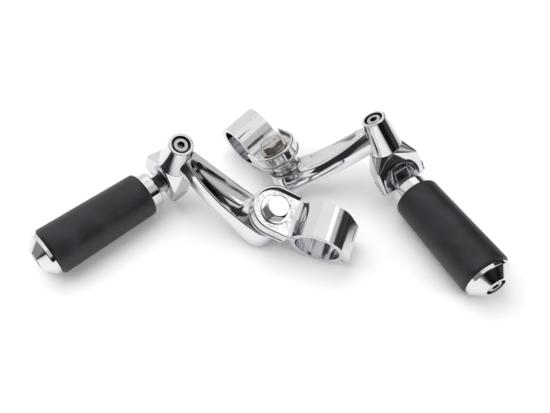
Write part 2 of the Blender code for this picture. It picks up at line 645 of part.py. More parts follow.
def make_spring_washer(side):
    """Dished washer that keeps the tang tight in its slot."""
    outer = -SLOT_W / 2 + SPRING_CLEAR
    dish = (SLOT_W - TANG_W) / 2 - 2 * SPRING_CLEAR - SPRING_T / 2
    ring = turned([(PIN_R + GAP, outer + dish), (SPRING_R, outer), (SPRING_R, outer + SPRING_T / 2),
                   (PIN_R + GAP, outer + dish + SPRING_T / 2)], MEDIUM)
    return side.piece("spring_washer", moved(lie_along_y(ring), x=PIN_X, z=-BARREL_H - PIN_DROP),
                      side.clevis, STEEL)


def make_peg_core(side):
    shaft_end = RUBBER_END - GAP
    thread_end = shaft_end - CAP_SCREW_LENGTH
    edge = COLLAR_EDGE
    body = turned([(0, COLLAR_BACK), (COLLAR_BACK_R, COLLAR_BACK),
                   (COLLAR_R - edge, COLLAR_START - edge / 2),
                   (COLLAR_R, COLLAR_START + edge), (COLLAR_R, RUBBER_START - edge),
                   (COLLAR_R - edge, RUBBER_START), (CORE_R, RUBBER_START), (CORE_R, shaft_end),
                   (SCREW_SHANK_R + GAP, shaft_end), (SCREW_SHANK_R + GAP, thread_end),
                   (0, thread_end - DRILL_TIP)], FINE)
    core = side.piece("peg_core", moved(lie_along_x(body), z=-PEG_DROP), side.peg, CHROME)
    heel = SLOT_TOP + BARREL_H + PIN_DROP - HEEL_GAP
    tang_end = COLLAR_BACK + PAST
    tang_top = COLLAR_BACK_R - PEG_DROP
    outline = arc(0, 0, TANG_R, *TANG_BACK_SPAN, 9)
    outline += [(tang_end, -PEG_DROP - TANG_R), (tang_end, tang_top), (HEEL_FRONT + HEEL_TOE, tang_top),
                (HEEL_FRONT, heel), (-HEEL_BACK, heel)]
    join(core, side.piece("tang_form", slab(outline, TANG_W), side.peg))
    pin_way = lie_along_y(turned([(0, -SLOT_W), (PIN_R + GAP, -SLOT_W), (PIN_R + GAP, SLOT_W), (0, SLOT_W)],
                                 MEDIUM))
    cut(core, side.piece("tang_bore", pin_way, side.peg))
    return core


def make_rubber(side):
    low = RUBBER_START + GAP
    high = RUBBER_END - GAP
    inner_end = arc(low + RUBBER_EDGE, RUBBER_R_INNER - RUBBER_EDGE, RUBBER_EDGE, 180, 90, 4)
    outer_end = arc(high - RUBBER_EDGE, RUBBER_R_OUTER - RUBBER_EDGE, RUBBER_EDGE, 90, 0, 4)
    profile = [(radius, t) for t, radius in inner_end + outer_end]
    bore = CORE_R + GAP
    sleeve = turned(profile + [(bore, high), (bore, low)], FINE)
    return side.piece("rubber_sleeve", moved(lie_along_x(sleeve), z=-PEG_DROP), side.peg, RUBBER)


def make_end_cap(side):
    low = RUBBER_END
    cone_start = low + CAP_BAND
    face = cone_start + CAP_CONE
    floor = face - CAP_RECESS_DEPTH
    edge = CAP_EDGE
    cap = turned([(SCREW_SHANK_R + GAP, low), (CAP_R - edge, low), (CAP_R, low + edge),
                  (CAP_R, cone_start - edge), (CAP_R - edge, cone_start + edge / 2),
                  (CAP_FACE_R, face - edge / 2), (CAP_FACE_R - edge, face),
                  (CAP_RECESS_R, face), (CAP_RECESS_R, floor), (SCREW_SHANK_R + GAP, floor)], FINE)
    return side.piece("end_cap", moved(lie_along_x(cap), z=-PEG_DROP), side.peg, CHROME)


def make_cap_screw(side):
    face = RUBBER_END + CAP_BAND + CAP_CONE
    shift = face - CAP_RECESS_DEPTH + SCREW_HEAD_H + GAP
    form = moved(lie_along_x(socket_screw(CAP_SCREW_LENGTH)), x=shift, z=-PEG_DROP)
    screw = side.piece("end_cap_screw", form, side.peg, STEEL)
    socket = lie_along_x(prism(hexagon(SCREW_HEX, CAP_SOCKET_TURN), -SCREW_HEX_DEPTH, PAST))
    cut(screw, side.piece("end_cap_screw_socket", moved(socket, x=shift, z=-PEG_DROP), side.peg))
    return screw


def make_peg(side):
    make_arm(side)
    make_swivel_screw(side)
    make_clamp_lower(side)
    make_clamp_upper(side)
    make_clamp_bolt(side)
    make_clamp_washer(side)
    make_clevis(side)
    make_pin(side)
    make_clip(side)
    make_spring_washer(side)
    make_peg_core(side)
    make_rubber(side)
    make_end_cap(side)
    make_cap_screw(side)


def main():
    clear_scene()
    make_peg(Side("left", 1, LEFT_PLACE, LEFT_LEAN, LEFT_CLAMP_TURN, LEFT_PEG_TURN, LEFT_FOLD))
    make_peg(Side("right", -1, RIGHT_PLACE, RIGHT_LEAN, RIGHT_CLAMP_TURN, RIGHT_PEG_TURN, RIGHT_FOLD))


main()
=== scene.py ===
"""The finished look of a pair of folding highway pegs: chrome arms and clamps, rubber sleeves.

Each piece is drawn in one of the four places of its side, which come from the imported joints. Shapes are
drawn for the left peg, and the right one's are their mirror images.
"""

import json
import math

import bmesh
import bpy
from mathutils import Matrix, Vector


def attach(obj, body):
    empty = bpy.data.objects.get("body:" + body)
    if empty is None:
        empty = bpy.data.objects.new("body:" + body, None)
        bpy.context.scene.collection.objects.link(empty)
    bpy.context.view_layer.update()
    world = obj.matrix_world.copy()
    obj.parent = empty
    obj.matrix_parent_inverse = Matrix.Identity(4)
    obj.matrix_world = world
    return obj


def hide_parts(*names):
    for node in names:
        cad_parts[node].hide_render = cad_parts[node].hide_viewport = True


bl_info = {
    "name": "Folding highway pegs",
    "version": (1, 0, 0),
    "blender": (4, 5, 0),
    "location": "3D View > Sidebar > Pegs",
    "description": "Builds a pair of chrome folding highway pegs on offset arms with tube clamps",
    "category": "Object",
}

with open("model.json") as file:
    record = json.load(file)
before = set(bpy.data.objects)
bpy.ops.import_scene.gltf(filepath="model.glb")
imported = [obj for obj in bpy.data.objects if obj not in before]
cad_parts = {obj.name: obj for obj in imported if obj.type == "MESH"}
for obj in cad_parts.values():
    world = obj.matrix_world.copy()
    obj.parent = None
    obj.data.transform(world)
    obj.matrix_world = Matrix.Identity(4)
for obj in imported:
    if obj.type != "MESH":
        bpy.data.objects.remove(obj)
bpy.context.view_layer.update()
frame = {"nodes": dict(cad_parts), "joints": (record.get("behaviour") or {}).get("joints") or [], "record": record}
JOINTS = {joint["name"]: joint for joint in frame["joints"]}
MOUNTS = {mount["name"]: mount for mount in frame["record"]["mounts"]}

MM = 0.001
GAP = 0.3 * MM                 # between pieces that touch on the real pegs
PAST = 1.0 * MM                # how far a cutter runs past what it cuts
MERGE = 0.001 * MM             # points nearer than this are one
ROUND = 128                    # facets round the turned pieces
PIN_ROUND = 64                 # facets round the pivot pin and its holes
SLEEVE_ROUND = 160             # facets round the rubber sleeve
SIDES = (("left", 1), ("right", -1))   # -1 draws the mirror image

# The arm's beam, in millimetres: edges seen from above, top line, its fall to the far side, bottom line,
# how far the peg-side rim stands out over the wall, and the flat border on the far side
BEAM_PEG_SIDE = ((0, -4.5), (8, -5.8), (25, -9.1), (45, -11.5), (65, -14.1), (76, -14.0))
BEAM_FAR_SIDE = ((0, 5.4), (8, 6.0), (25, 7.3), (45, 8.7), (65, 9.8), (76, 10.0))
BEAM_TOP = ((0, -6.4), (8, -7.1), (25, -12.0), (45, -16.7), (58, -17.0), (90, -17.0))
BEAM_TILT = ((0, 0.2), (25, 0.8), (45, 1.4), (60, 3.0), (90, 3.0))
BEAM_BOTTOM = ((0, -23.6), (8, -24.6), (25, -27.2), (45, -29.5), (60, -30.2), (78, -34.7), (90, -33.6))
BEAM_RIM_OUT = ((0, 0.4), (10, 1.5), (25, 2.2), (45, 1.2), (62, 0.0), (90, 0.0))
BEAM_SHELF = ((0, 5.0), (15, 4.6), (35, 3.4), (55, 2.0), (90, 2.0))

BEAM_MIDDLE = -14.0 * MM       # height at which the beam's edges are given
NEAR_LEAN, FAR_LEAN = 0.23, 0.10       # how far the walls lean for each metre down
NEAR_SOFT, FAR_SOFT = 1.3 * MM, 0.6 * MM   # radii of the upper rims
RIM_TURN, FOOT_TURN = 162, -165        # where the rounds run into the bowed wall, in degrees
FOOT_SHARE = 0.12              # width of the foot's outermost section, as a share of the full width
DISH_STEEPNESS = 2.2           # how soon the dish reaches its full depth
DISH_SKEW = 1.15               # above 1 the dish is deepest beyond its middle
DISH_STEPS, WALL_STEPS = 16, 12

NECK_FOOT = -20.5 * MM         # height at which the neck has widened to its foot
SCREW_HEAD = 5.6 * MM          # height of the socket screws' heads
SOCKET_DEPTH = 3.2 * MM
TONGUE_INNER, TONGUE_OUTER = 3.1 * MM, 0.5 * MM   # both sides of the tongue from the hooked end's face
PIN_HEAD = 1.4 * MM            # height of the pin's head

# What the plate mirrors: middle and half width round the pair from the far side, lowest and highest angle
# above the floor, brightness as it shows, softness of the border; in degrees
ROOM_CARDS = (
    (-48, 40, -20, 60, 0.84, 8),
    (-112, 22, -20, 40, 0.50, 10),
    (-152, 24, -4, 46, 0.18, 8),
    (105, 62, -20, 22, 0.22, 5),
    (60, 13, -20, 14, 0.08, 6),
    (140, 22, -20, 14, 0.10, 6),
    (46, 17, 16, 56, 0.19, 4),
    (52, 2.5, 24, 60, 0.80, 3),
    (112, 30, 32, 60, 0.72, 6),
    (84, 13, 47, 60, 1.00, 4),
    (180, 34, 34, 62, 0.30, 7),
    (4, 22, 38, 64, 0.95, 6),
    (40, 110, 64, 91, 0.88, 4),
)
CHROME_SHARE = 0.8             # how much of the light the plate gives back
SHOWN_POWER = 2.2              # from brightness as it shows to strength of light
ROOM_LEVEL = 0.34              # what the plate mirrors between the cards
PLAIN_LEVEL = 0.45             # plain light on all that isn't mirrored

# Lamps: name, place, width and depth, power in watts
LAMPS = (("key_panel", (-0.3, 0.12, 0.85), (1.1, 0.9), 7.0),
         ("fill_panel", (0.6, -0.5, 0.6), (0.5, 0.5), 2.5))
LAMPS_AIM = (0, 0, 0.02)

WHITE, BLACK = (1, 1, 1, 1), (0, 0, 0, 1)
MIX_FACTOR, MIX_FIRST, MIX_SECOND, MIX_RESULT = 0, 6, 7, 2   # the colour sockets of a Mix node


def length(name, description, millimetres):
    return bpy.props.FloatProperty(name=name, description=description, default=millimetres * MM,
                                   min=0.0, unit="LENGTH", precision=5)


def colour(name, description, default):
    return bpy.props.FloatVectorProperty(name=name, description=description, default=default, size=3,
                                         min=0.0, max=1.0, subtype="COLOR")


class ArmSizes(bpy.types.PropertyGroup):
    """The offset arm with its barrel and neck."""
    top_radius: length("Barrel top radius", "Radius of the barrel's upper rim", 8.5)
    bottom_radius: length("Barrel bottom radius", "Radius of the barrel's seat", 12.5)
    height: length("Barrel height", "From the barrel's rim to its seat", 26.7)
    seat_radius: length("Screw seat radius", "Radius of the counterbore in the barrel", 6.6)
    seat_depth: length("Screw seat depth", "Depth of the counterbore", 7.0)
    rim: length("Rim width", "Flat border beside the dished top", 0.4)
    dish: length("Dish depth", "Depth of the dished top", 2.6)
    dish_start: length("Dish start", "Where the dish begins, from the barrel's axis", 10.0)
    dish_end: length("Dish end", "Where the dish ends, from the barrel's axis", 65.0)
    bulge: length("Wall bulge", "How far the peg-side wall bows out", 1.2)
    corner: length("Lower corner radius", "Radius of the beam's lower edges", 3.0)
    foot_end: length("Foot end", "Outer end of the rounded foot", 89.0)
    neck_radius: length("Neck radius", "Radius of the neck under the clamp", 10.0)
    neck_top: length("Neck drop", "The neck's top below the barrel's rim", 7.0)
    flange_radius: length("Flange radius", "Radius of the neck's flange", 12.5)
    flange_height: length("Flange height", "Height of the neck's flange", 2.0)
    foot_radius: length("Neck foot radius", "Radius where the neck meets the beam", 13.0)


class ClampSizes(bpy.types.PropertyGroup):
    """The clamp for the guard tube."""
    tube: length("Tube diameter", "Diameter of the tube that the clamp grips", 31.75)
    wall: length("Ring wall", "Wall of the ring", 3.3)
    width: length("Ring width", "Width along the tube", 26.9)
    reach: length("Ring reach", "From the bolt's axis to the tube's axis", 36.8)
    split: length("Split height", "Parting plane above the barrel's rim", 0.7)
    split_open: length("Split opening", "Gap between the halves where they stand open", 1.1)
    cup_radius: length("Cup radius", "Outer radius of the cup", 17.0)
    cup_wall: length("Cup wall", "Wall of the cup", 1.8)
    cup_leg: length("Cup leg", "How far the cup's legs run past the bolt's axis", 14.0)
    cup_rim: length("Cup rim height", "The cup's rim above the barrel's rim", 4.8)
    cup_step: length("Cup step", "How far the lower band stands out", 0.7)
    cup_step_height: length("Cup step height", "Height of the lower band", 3.0)
    ear: length("Ear thickness", "Thickness of the upper ear", 3.4)
    ear_drop: length("Ear drop", "The ear's underside below the parting plane", 2.5)
    ear_step: length("Ear step", "Where the halves step up to the parting plane", 15.6)
    lug: length("Lug reach", "From the bolt's axis to the hooked end's face", 60.0)
    lug_height: length("Lug height", "Straight height of the hooked end on each half", 2.8)
    lug_round: length("Lug round", "Round from the hooked end to the ring", 4.5)
    lip: length("Lip reach", "The halves touch from the tube to here", 55.2)
    tongue: length("Tongue width", "Width of the tongue at the hooked end", 9.4)
    tongue_down: length("Tongue reach", "How far the tongue reaches past the parting plane", 2.4)
    tongue_off: length("Tongue offset", "Tongue off the middle of the ring", 4.2)
    tab_line: length("Tab line", "Width and depth of the lines round the tab", 0.9)
    tab_side: length("Tab side", "Length of the tab's two short lines", 2.6)
    tab_angle: bpy.props.FloatProperty(name="Tab angle", description="Where the tab's long line lies on the "
                                       "hooked end's round, in degrees", default=74.0, min=0.0, max=90.0)
    bolt_flats: length("Bolt across flats", "Width of the bolt's hexagon", 15.5)
    bolt_head: length("Bolt head height", "Height of the bolt's head", 5.5)
    bolt_shank: length("Bolt radius", "Radius of the bolt's shank", 4.9)
    bolt_length: length("Bolt length", "Length of the bolt's shank", 24.0)
    washer: length("Washer radius", "Outer radius of the washer", 10.6)
    washer_height: length("Washer height", "Height of the washer", 1.2)


class ClevisSizes(bpy.types.PropertyGroup):
    """The clevis that holds the peg's pin."""
    pin_reach: length("Pin reach", "Pin in front of the barrel's axis", 4.0)
    pin_drop: length("Pin drop", "Pin below the barrel's seat", 28.3)
    half_width: length("Half width", "Half the width over the ears", 17.5)
    front: length("Front", "Front face from the barrel's axis", 12.4)
    lobe: length("Ear radius", "Radius of the ears round the pin", 7.6)
    slot: length("Slot width", "Width of the slot for the tang", 12.4)
    slot_top: length("Slot top", "Slot's ceiling below the barrel's rim", 40.5)
    scoop: length("Scoop radius", "Radius of the scoop in the front", 16.15)
    scoop_inner: length("Scoop inner radius", "Radius of the scoop's floor", 8.0)
    scoop_depth: length("Scoop depth", "Depth of the scoop", 3.2)
    scoop_up: length("Scoop rise", "Middle of the scoop above the pin", 1.7)
    pin: length("Pin radius", "Radius of the pivot pin", 4.0)
    pin_head: length("Pin head radius", "Radius of the pin's head", 5.8)
    edge: length("Edge", "Rounding of the block's edges", 1.8)


class PegSizes(bpy.types.PropertyGroup):
    """The folding peg."""
    drop: length("Axis drop", "The peg's own axis below the pin", 3.3)
    tang: length("Tang width", "Thickness of the tang", 10.6)
    tang_radius: length("Tang radius", "Radius of the tang round the pin", 7.0)
    collar_back: length("Collar back", "Start of the collar's cone from the pin", 10.2)
    collar_start: length("Collar start", "Start of the collar's rim", 12.7)
    collar: length("Collar radius", "Radius of the collar", 13.7)
    collar_small: length("Collar back radius", "Radius at the back of the cone", 7.6)
    rubber_start: length("Sleeve start", "Inner end of the rubber sleeve", 20.4)
    rubber_end: length("Sleeve end", "Outer end of the rubber sleeve", 98.6)
    rubber_inner: length("Sleeve inner end radius", "Sleeve's radius by the collar", 17.1)
    rubber_outer: length("Sleeve outer end radius", "Sleeve's radius by the cap", 17.8)
    rubber_edge: length("Sleeve edge", "Rounding of the sleeve's ends", 2.2)
    core: length("Core radius", "Radius of the core in the sleeve", 11.0)
    cap_band: length("Cap band", "Width of the cap's straight band", 2.7)
    cap: length("Cap radius", "Radius of the end cap", 16.25)
    cap_cone: length("Cap cone", "Length of the cap's cone", 6.8)
    cap_face: length("Cap face radius", "Outer radius of the cap's face", 8.8)
    cap_recess: length("Recess radius", "Radius of the screw recess", 7.0)
    cap_recess_depth: length("Recess depth", "Depth of the screw recess", 6.6)
    screw_head: length("Screw head radius", "Radius of the socket screws' heads", 5.1)
    screw_shank: length("Screw radius", "Radius of the socket screws", 3.0)
    screw_flats: length("Socket flats", "Width of the hexagon socket", 5.0)


class PegColours(bpy.types.PropertyGroup):
    """Colours of the finishes."""
    chrome: colour("Chrome", "Bright plate", (0.80, 0.81, 0.83))
    steel: colour("Fastener steel", "Plated screws and pins", (0.62, 0.61, 0.59))
    tarnish: colour("Tarnish", "Brown tarnish on the clamp bolts", (0.30, 0.23, 0.17))
    stain: colour("Stain", "Light brown stain round the aged bolt", (0.50, 0.44, 0.37))
    # Colour of the painted shade in the pockets and corners of the chrome pieces and the screws
    grime_and_shade: colour("Grime", "Dark film deep in the pockets", (0.035, 0.033, 0.032))
    rubber: colour("Rubber", "Moulded sleeve", (0.0095, 0.0095, 0.013))
    floor: colour("Floor", "Floor of the stage", (0.93, 0.93, 0.93))


class Side:
    """The four places that one side's pieces are drawn in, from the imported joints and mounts."""

    def __init__(self, name, hand):
        turn, swivel, fold = (JOINTS[f"{name}_{kind}"] for kind in ("clamp_turn", "peg_swivel", "peg_fold"))
        up = Vector(swivel["axis"]).normalized()
        rim = Vector(swivel["pos_m"]) + up * (bpy.context.scene.peg_arm.height + GAP / 2)
        bolt = Vector(turn["pos_m"])
        along = (bolt - rim) - up * (bolt - rim).dot(up)
        self.name = name
        self.hand = hand
        self.reach = along.length
        self.bracket = self.place(rim, along.normalized(), up)
        tube = Vector(MOUNTS[f"{name}_clamp_inner_side"]["axis"])
        self.clamp = self.place(bolt, tube.cross(up) * hand, up)
        pin_axis = Vector(fold["axis"]).normalized()
        self.clevis = self.place(rim, pin_axis.cross(up), up)
        level = Matrix.Rotation(math.radians(-fold["range_deg"][0]), 3, pin_axis)
        self.peg = self.place(Vector(fold["pos_m"]), level @ pin_axis.cross(up), level @ up)

    def place(self, origin, forward, up):
        """A frame with X forward and Z up, whose Y is turned round on the right, as in a mirror."""
        forward = (forward - up * forward.dot(up)).normalized()
        matrix = Matrix((forward, up.cross(forward) * self.hand, up)).transposed().to_4x4()
        matrix.translation = origin
        return matrix


def feed(tree, socket, value):
    """Link a value to a socket, or write it there."""
    if isinstance(value, Link):
        tree.links.new(value.socket, socket)
    else:
        socket.default_value = value


class Link:
    """One output of a shader node, which can be used in a Python expression."""

    def __init__(self, nodes, socket):
        self.nodes = nodes
        self.socket = socket

    def __add__(self, other):
        return self.nodes.maths("ADD", self, other)

    def __sub__(self, other):
        return self.nodes.maths("SUBTRACT", self, other)

    def __rsub__(self, other):
        return self.nodes.maths("SUBTRACT", other, self)

    def __mul__(self, other):
        return self.nodes.maths("MULTIPLY", self, other)

    __radd__ = __add__
    __rmul__ = __mul__

    def clamped(self):
        return self.nodes.node("ShaderNodeClamp", sockets={"Value": self})

    def between(self, low, high):
        """0 at low, 1 at high and smooth between them."""
        return self.nodes.node("ShaderNodeMapRange", {"interpolation_type": "SMOOTHSTEP"},
                               {"Value": self, "From Min": low, "From Max": high})

    def part(self, axis):
        return self.nodes.node("ShaderNodeSeparateXYZ", sockets={0: self}, output=axis)


class Nodes:
    """The shader nodes of a material or of the world."""

    def __init__(self, owner):
        owner.use_nodes = True
        self.tree = owner.node_tree

    def node(self, kind, settings=None, sockets=None, output=0):
        """Add a node: its settings first, then the values or links of its sockets."""
        node = self.tree.nodes.new(kind)
        for name, value in (settings or {}).items():
            setattr(node, name, value)
        for key, value in (sockets or {}).items():
            feed(self.tree, node.inputs[key], value)
        return Link(self, node.outputs[output])

    def maths(self, operation, *values):
        return self.node("ShaderNodeMath", {"operation": operation}, dict(enumerate(values)))

    def mix(self, factor, first, second):
        """Blend two colours."""
        return self.node("ShaderNodeMix", {"data_type": "RGBA"},
                         {MIX_FACTOR: factor, MIX_FIRST: first, MIX_SECOND: second}, MIX_RESULT)

    def place(self, kind="Object"):
        return self.node("ShaderNodeTexCoord", output=kind)

    def ray(self, kind):
        return self.node("ShaderNodeLightPath", output=f"Is {kind} Ray")

    def noise(self, scale, detail=3.0, rough=0.5, stretch=None, distortion=0.0):
        vector = self.place()
        if stretch:
            vector = self.node("ShaderNodeMapping", sockets={"Vector": vector, "Scale": stretch})
        return self.node("ShaderNodeTexNoise", sockets={"Vector": vector, "Scale": scale, "Detail": detail,
                                                        "Roughness": rough, "Distortion": distortion})


class Finish(Nodes):
    """A material under construction."""

    def __init__(self, name):
        self.material = bpy.data.materials.new(name)
        super().__init__(self.material)
        self.shader = self.tree.nodes["Principled BSDF"]

    def recess(self, reach, open_at, shut_at):
        """1 deep in the piece's own pockets and corners, 0 on its open faces; the mask of the painted shade."""
        return self.node("ShaderNodeAmbientOcclusion", {"only_local": True, "samples": 8},
                         {"Distance": reach}, "AO").between(open_at, shut_at)

    def from_bolt(self, side):
        """Distance from one side's clamp bolt."""
        return self.node("ShaderNodeVectorMath", {"operation": "DISTANCE"},
                         {0: self.place(), 1: JOINTS[f"{side}_clamp_turn"]["pos_m"]}, "Value")

    def bolt_stain(self):
        """Mottled stain that thins out away from each clamp bolt."""
        mottle = self.noise(330, 5, 0.65, distortion=0.6).between(0.42, 0.6)
        right = self.from_bolt("right").between(21 * MM, 11 * MM)
        left = self.from_bolt("left").between(21 * MM, 10 * MM)
        return (mottle * (right + left * 0.7)).clamped()

    def aged_side(self):
        """1 on the right clamp, which lies behind, and 0 on the left one."""
        return self.place().part("Y").between(0.0, 6 * MM)

    def bump(self, height, distance, strength):
        return self.node("ShaderNodeBump", sockets={"Height": height, "Distance": distance,
                                                    "Strength": strength})

    def set(self, **values):
        for name, value in values.items():
            feed(self.tree, self.shader.inputs[name.replace("_", " ")], value)


def rgba(value, gain=1.0):
    return (*(channel * gain for channel in value), 1.0)


def chrome_finish(finish, colours):
    """Bright plate with faint haze, fine rubbing marks and a few pin pricks, and painted shade in its pockets and
    corners.
    """
    haze = finish.noise(90, 4).between(0.35, 0.75)
    rubbing = finish.noise(900, 2, stretch=(1.0, 0.18, 1.0)).between(0.55, 0.8)
    cells = finish.node("ShaderNodeTexVoronoi", {"feature": "F1"},
                        {"Vector": finish.place(), "Scale": 240.0}, "Distance")
    patches = finish.noise(34, 2).between(0.5, 0.62)
    pricks = ((1 - cells.between(0.07, 0.15)) * patches).clamped()
    wave = finish.noise(120, 1) * 0.6 + finish.noise(45, 1)
    # Painted shade: ambient occlusion darkens the base colour towards the shade colour in pockets and corners, and
    # dims it over a wider reach
    pocket_shade = finish.recess(8 * MM, 0.5, 0.25)
    wide_shade = finish.recess(30 * MM, 0.8, 0.55)
    stain = finish.bolt_stain()
    tint = finish.mix(haze * 0.5, rgba(colours.chrome), rgba(colours.chrome, 0.93))
    marked = finish.mix(pricks * 0.5, tint, rgba(colours.steel, 0.3))
    brown = finish.mix(finish.aged_side(), rgba(colours.steel, 0.75), rgba(colours.stain))
    stained = finish.mix(stain * 0.8, marked, brown)
    wide_shaded = finish.mix(wide_shade * 0.8, stained, rgba(colours.chrome, 0.22))
    worn = 0.035 + haze * 0.04 + rubbing * 0.05 + pricks * 0.2
    finish.set(Base_Color=finish.mix(pocket_shade * 0.92, wide_shaded, rgba(colours.grime_and_shade)), Metallic=1.0,
               Roughness=(worn + wide_shade * 0.25 + pocket_shade * 0.2 + stain * 0.28).clamped(),
               Normal=finish.bump(wave + stain * 0.8, 0.03 * MM, 0.5))


def steel_finish(finish, colours):
    """Plated fastener steel, a little duller than the chrome."""
    cloud = finish.noise(400, 3).between(0.3, 0.7)
    grime_and_shade = finish.noise(1500, 3).between(0.55, 0.8)
    # Painted shade: ambient occlusion darkens the base colour towards the shade colour in the screw's own pockets,
    # such as the hexagon socket
    pocket_shade = finish.recess(4 * MM, 0.72, 0.42)
    worn = finish.mix(grime_and_shade * 0.6, rgba(colours.steel), rgba(colours.tarnish))
    finish.set(Base_Color=finish.mix(pocket_shade * 0.9, worn, rgba(colours.grime_and_shade)),
               Metallic=1.0, Roughness=0.16 + cloud * 0.12,
               Normal=finish.bump(finish.noise(2500, 2), 0.02 * MM, 0.4))


def tarnished_finish(finish, colours):
    """Plated steel that has gone brown in patches, more on the right clamp than on the left."""
    aged = finish.aged_side()
    stain = finish.noise(260, 5, 0.6, distortion=0.4).between(0.42, 0.66)
    dots = finish.noise(1800, 3).between(0.5, 0.72)
    worn = ((stain * 0.9 + dots * 0.3) * (aged * 0.7 + 0.1) + aged * 0.1).clamped()
    clean = finish.mix(aged, rgba(colours.chrome, 1.1), rgba(colours.steel, 1.1))
    finish.set(Base_Color=finish.mix(worn, clean, rgba(colours.tarnish)),
               Metallic=1.0 - worn * 0.25, Roughness=0.1 + worn * 0.35 + aged * 0.08,
               Normal=finish.bump((dots * 0.6 + stain) * (aged * 0.85 + 0.15), 0.08 * MM, 0.4))


def rubber_finish(finish, colours):
    """Moulded rubber with a fine grain and a faint bloom."""
    bloom = finish.noise(60, 4).between(0.42, 0.68)
    scuff = finish.noise(300, 4, stretch=(1.0, 1.0, 0.3)).between(0.62, 0.8)
    pale = finish.mix(bloom * 0.8, rgba(colours.rubber), rgba(colours.rubber, 2.4))
    finish.set(Base_Color=finish.mix(scuff * 0.3, pale, rgba(colours.rubber, 3.0)), Metallic=0.0,
               Roughness=0.4 + bloom * 0.14 + scuff * 0.1,
               Normal=finish.bump(finish.noise(5200, 3, 0.6), 0.08 * MM, 0.35))


FINISHES = {"chrome": chrome_finish, "fastener_steel": steel_finish,
            "tarnished_steel": tarnished_finish, "rubber": rubber_finish}


def material(slot):
    """The slot's finish, made when it is first asked for."""
    name = f"{slot}_finish"
    if name not in bpy.data.materials:
        FINISHES[slot](Finish(name), bpy.context.scene.peg_colours)
    return bpy.data.materials[name]


def arc(cx, cy, radius, start, end, steps):
    """Points on an arc, in degrees, both ends included."""
    turns = [math.radians(start + (end - start) * step / steps) for step in range(steps + 1)]
    return [(cx + radius * math.cos(turn), cy + radius * math.sin(turn)) for turn in turns]


def runs_at(points, x):
    """Height at x of the straight runs between the points."""
    for (x0, y0), (x1, y1) in zip(points, points[1:]):
        if x <= x1:
            break
    part = min(max((x - x0) / (x1 - x0), 0.0), 1.0)
    return y0 + (y1 - y0) * part


def line_at(points, x, reach=7.0, samples=15):
    """The same line, averaged over a reach so that its corners are round. Metres in and out."""
    half = (samples - 1) / 2
    heights = [runs_at(points, x / MM + reach * (k - half) / half) for k in range(samples)]
    return sum(heights) / samples * MM


def prism(outline, low, high):
    """Closed solid of a flat outline in XY, between two heights."""
    bm = bmesh.new()
    base = bm.faces.new([bm.verts.new((x, y, low)) for x, y in outline])
    grown = bmesh.ops.extrude_face_region(bm, geom=[base])
    top = [item for item in grown["geom"] if isinstance(item, bmesh.types.BMVert)]
    bmesh.ops.translate(bm, verts=top, vec=(0, 0, high - low))
    bmesh.ops.recalc_face_normals(bm, faces=bm.faces)
    return bm


def slab(outline, width):
    """Solid of an outline in X and height, centred across Y."""
    bm = prism([(x, -z) for x, z in outline], -width / 2, width / 2)
    bmesh.ops.rotate(bm, verts=bm.verts, matrix=Matrix.Rotation(-math.pi / 2, 3, "X"))
    return bm


def spun(profile, steps=ROUND):
    """Solid of revolution about Z from (radius, height) points, closed at the axis or as a ring."""
    bm = bmesh.new()
    verts = [bm.verts.new((radius, 0, height)) for radius, height in profile]
    edges = [bm.edges.new(pair) for pair in zip(verts, verts[1:])]
    if profile[0][0] > 0:
        edges.append(bm.edges.new((verts[-1], verts[0])))
    bmesh.ops.spin(bm, geom=verts + edges, cent=(0, 0, 0), axis=(0, 0, 1), angle=math.tau, steps=steps,
                   use_merge=True)
    bmesh.ops.remove_doubles(bm, verts=bm.verts, dist=MERGE)
    bmesh.ops.recalc_face_normals(bm, faces=bm.faces)
    return bm


def rod(radius, low, high, steps=ROUND):
    """Round bar about Z."""
    return spun([(0, low), (radius, low), (radius, high), (0, high)], steps)


def sharp_edges(bm, angle):
    return [edge for edge in bm.edges if edge.calc_face_angle(0.0) > math.radians(angle)]


def round_off(bm, edges, width, segments):
    bmesh.ops.bevel(bm, geom=edges, offset=width, segments=segments, profile=0.5, affect="EDGES",
                    material=-1, clamp_overlap=True)


def ease(bm, width, segments=3, angle=28):
    """Round every edge that is sharper than the angle."""
    round_off(bm, sharp_edges(bm, angle), width, segments)
    return bm


def turned(bm, quarters, axis):
    bmesh.ops.rotate(bm, verts=bm.verts, matrix=Matrix.Rotation(quarters * math.pi / 2, 3, axis))
    return bm


def moved(bm, x=0.0, y=0.0, z=0.0):
    bmesh.ops.translate(bm, verts=bm.verts, vec=(x, y, z))
    return bm


def hexagon(flats, turn):
    return arc(0, 0, flats / math.sqrt(3), turn, turn + 300, 5)


def shaped(bm, place, name):
    """Put a drawn shape in its place as an object."""
    bmesh.ops.transform(bm, matrix=place, verts=bm.verts)
    if place.determinant() < 0:
        bmesh.ops.reverse_faces(bm, faces=bm.faces)
    mesh = bpy.data.meshes.new(name)
    bm.to_mesh(mesh)
    bm.free()
    thing = bpy.data.objects.new(name, mesh)
    bpy.context.scene.collection.objects.link(thing)
    return thing


def settle(thing):
    """Apply a piece's modifiers to its mesh."""
    graph = bpy.context.evaluated_depsgraph_get()
    mesh = bpy.data.meshes.new_from_object(thing.evaluated_get(graph))
    thing.modifiers.clear()
    thing.data = mesh


def combine(thing, operation, forms, place):
    """Join drawn forms to a piece, or cut them from it."""
    helpers = []
    for number, form in enumerate(forms):
        helper = shaped(form, place, f"{thing.name}_form_{number}")
        modifier = thing.modifiers.new("form", "BOOLEAN")
        modifier.operation = operation
        modifier.solver = "EXACT"
        modifier.object = helper
        helpers.append(helper)
    settle(thing)
    for helper in helpers:
        bpy.data.objects.remove(helper, do_unlink=True)


def finished(thing, body, slot, *nodes, sharp=30):
    """Give a piece its finish and let it stand for its nodes on their body."""
    thing.data.materials.clear()
    thing.data.materials.append(material(slot))
    thing.data.shade_smooth()
    thing.data.set_sharp_from_angle(angle=math.radians(sharp))
    weights = thing.modifiers.new("even_shading", "WEIGHTED_NORMAL")
    weights.keep_sharp = True
    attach(thing, body)
    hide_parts(*nodes)


